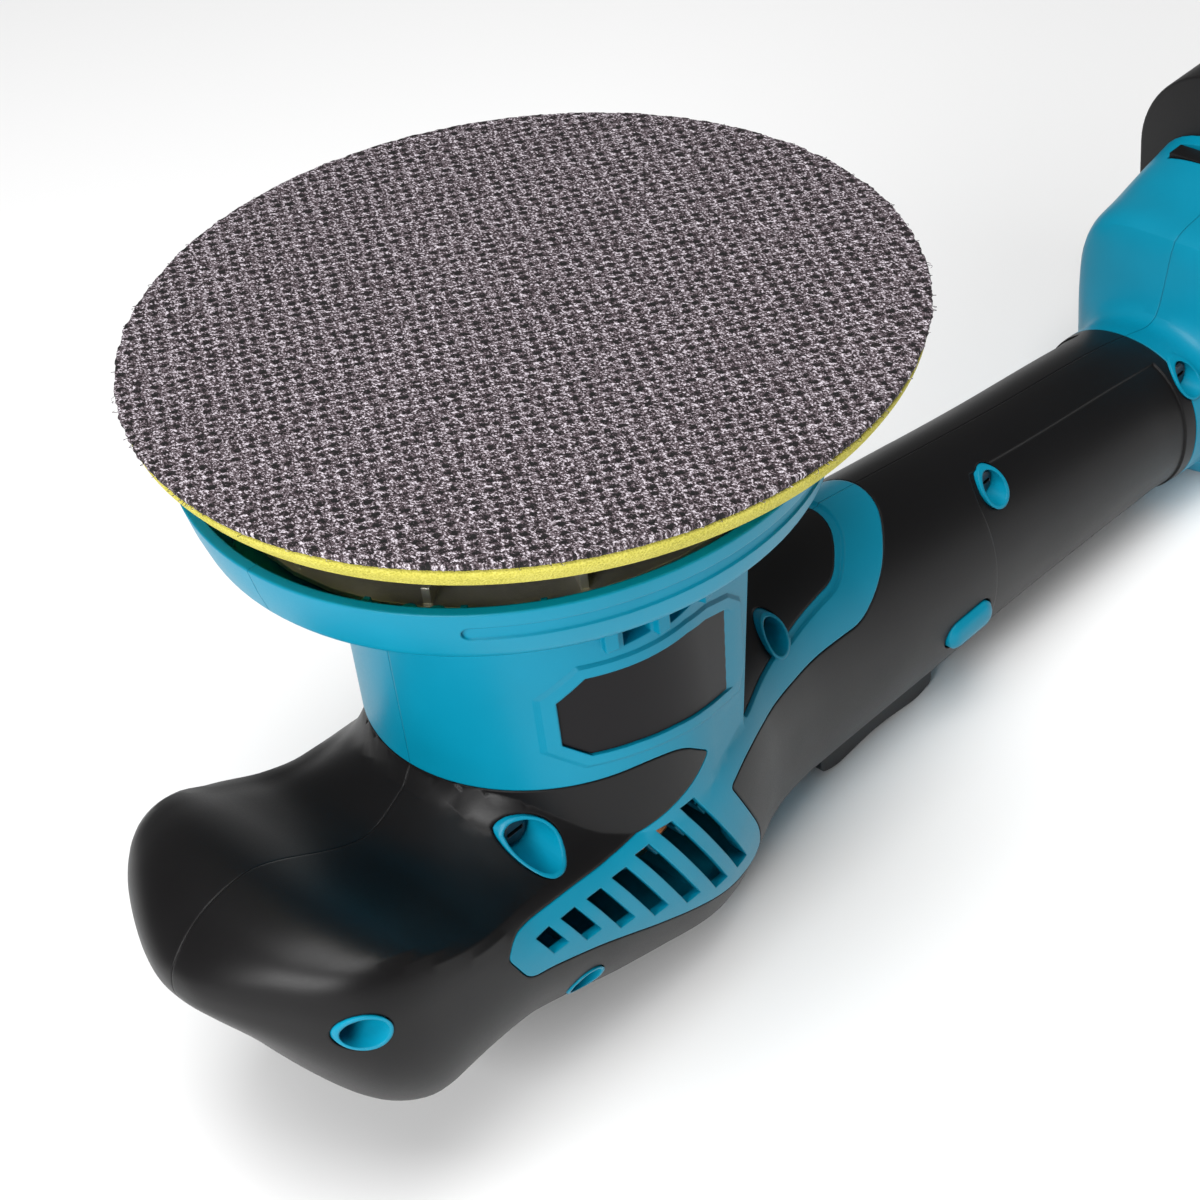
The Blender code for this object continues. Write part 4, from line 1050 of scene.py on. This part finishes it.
def build_battery():
    """Case with its rail, cover with its ribs, and the release button."""
    x0, x1, x2 = BASE_X + GAP, 283.0, BATTERY_END_X
    case = battery_shell("pack_case", x0, x1, x0 + CELL_WALL, x1 + 5.0)
    add(case, box("rail_neck", x0 - 4.5, x0 + 1.0, -14.0, 14.0, -150.4, -90.5))
    add(case, box("rail_head", x0 - 9.2, x0 - 4.1, -20.0, 20.0, -150.4, -90.5))
    for y in (-10.0, 10.0):
        cut(case, box("blade_room", x0 - 7.6, x0 - 5.2, y - 3.6, y + 3.6, -155.0, -139.5))
    cut(case, box("button_room", 264.0, 274.0, -12.3, 12.3, -78.0, -54.0))
    finish_piece(case, PACK_MAT, "battery", ("battery_case",))
    cover = battery_shell("pack_cover", x1 + GAP, x2, x1 - 5.0, x2 - CELL_WALL)
    for i in range(4):
        z = -104.0 - 12.0 * i
        cut(cover, box("rib_gap", x2 - 0.9, x2 + 2.0, -24.0, 24.0, z - 1.5, z + 1.5))
    finish_piece(cover, PACK_MAT, "battery", ("battery_cover",))
    button = box("pack_button", 264.3, 273.7, -12.0, 12.0, -77.5, -69.5)
    for i in range(5):
        x = 265.4 + 1.8 * i
        cut(button, box("rib_gap", x - 0.35, x + 0.35, -10.0, 10.0, -70.2, -64.0))
    finish_piece(button, PART_MAT, "battery_button", ("battery_button",))


build_housing()
build_disc()
build_foam()
build_trigger()
build_lock()
build_dial()
build_battery()


# ---- stage, light and camera ---------------------------------------------------------------------
def build_stage():
    """Plain pale floor."""
    size = 6.0
    corners = [(-size, -size, 0), (size, -size, 0), (size, size, 0), (-size, size, 0)]
    mesh = bpy.data.meshes.new("floor")
    mesh.from_pydata(corners, [], [(0, 1, 2, 3)])
    floor = bpy.data.objects.new("floor", mesh)
    bpy.context.scene.collection.objects.link(floor)
    m = Nodes("pale_floor", 0.9, 0.0)
    m.color(m.ramp(m.noise(2.0, 2.0), ((0.3, (0.85, 0.85, 0.85)), (0.7, (0.87, 0.87, 0.87)))))
    mesh.materials.append(m.mat)


def area_light(name, where, size, power):
    """Square light, in metres and watts, aimed at the middle of the tool."""
    data = bpy.data.lights.new(name, "AREA")
    data.shape = "RECTANGLE"
    data.size, data.size_y = size, size
    data.energy = power
    lamp = bpy.data.objects.new(name, data)
    lamp.location = where
    lamp.rotation_euler = (Vector((0.0, 0.0, 0.08)) - Vector(where)).to_track_quat("-Z", "Y").to_euler()
    bpy.context.scene.collection.objects.link(lamp)


def build_light():
    """Even white surround and two soft lights."""
    world = bpy.data.worlds.new("studio")
    bpy.context.scene.world = world
    world.use_nodes = True
    glow = world.node_tree.nodes["Background"]
    glow.inputs["Color"].default_value = (1.0, 1.0, 1.0, 1.0)
    glow.inputs["Strength"].default_value = 0.21
    area_light("key", (-1.35, -0.38, 0.72), 0.7, 22.0)
    area_light("top", (-0.30, -0.22, 1.35), 0.85, 19.0)


def build_camera():
    """View from the nose, above and to the right; metres and degrees."""
    data = bpy.data.cameras.new("camera")
    data.sensor_width = 36.0
    data.lens = 78.05
    data.clip_start = 0.01
    data.clip_end = 50.0
    camera = bpy.data.objects.new("camera", data)
    camera.location = (-0.361347, -0.308865, 0.416095)
    camera.rotation_euler = [math.radians(v) for v in (51.25, 5.922, -46.121)]
    bpy.context.scene.collection.objects.link(camera)
    bpy.context.scene.camera = camera


build_stage()
build_light()
build_camera()
bpy.context.scene.view_settings.view_transform = "Standard"
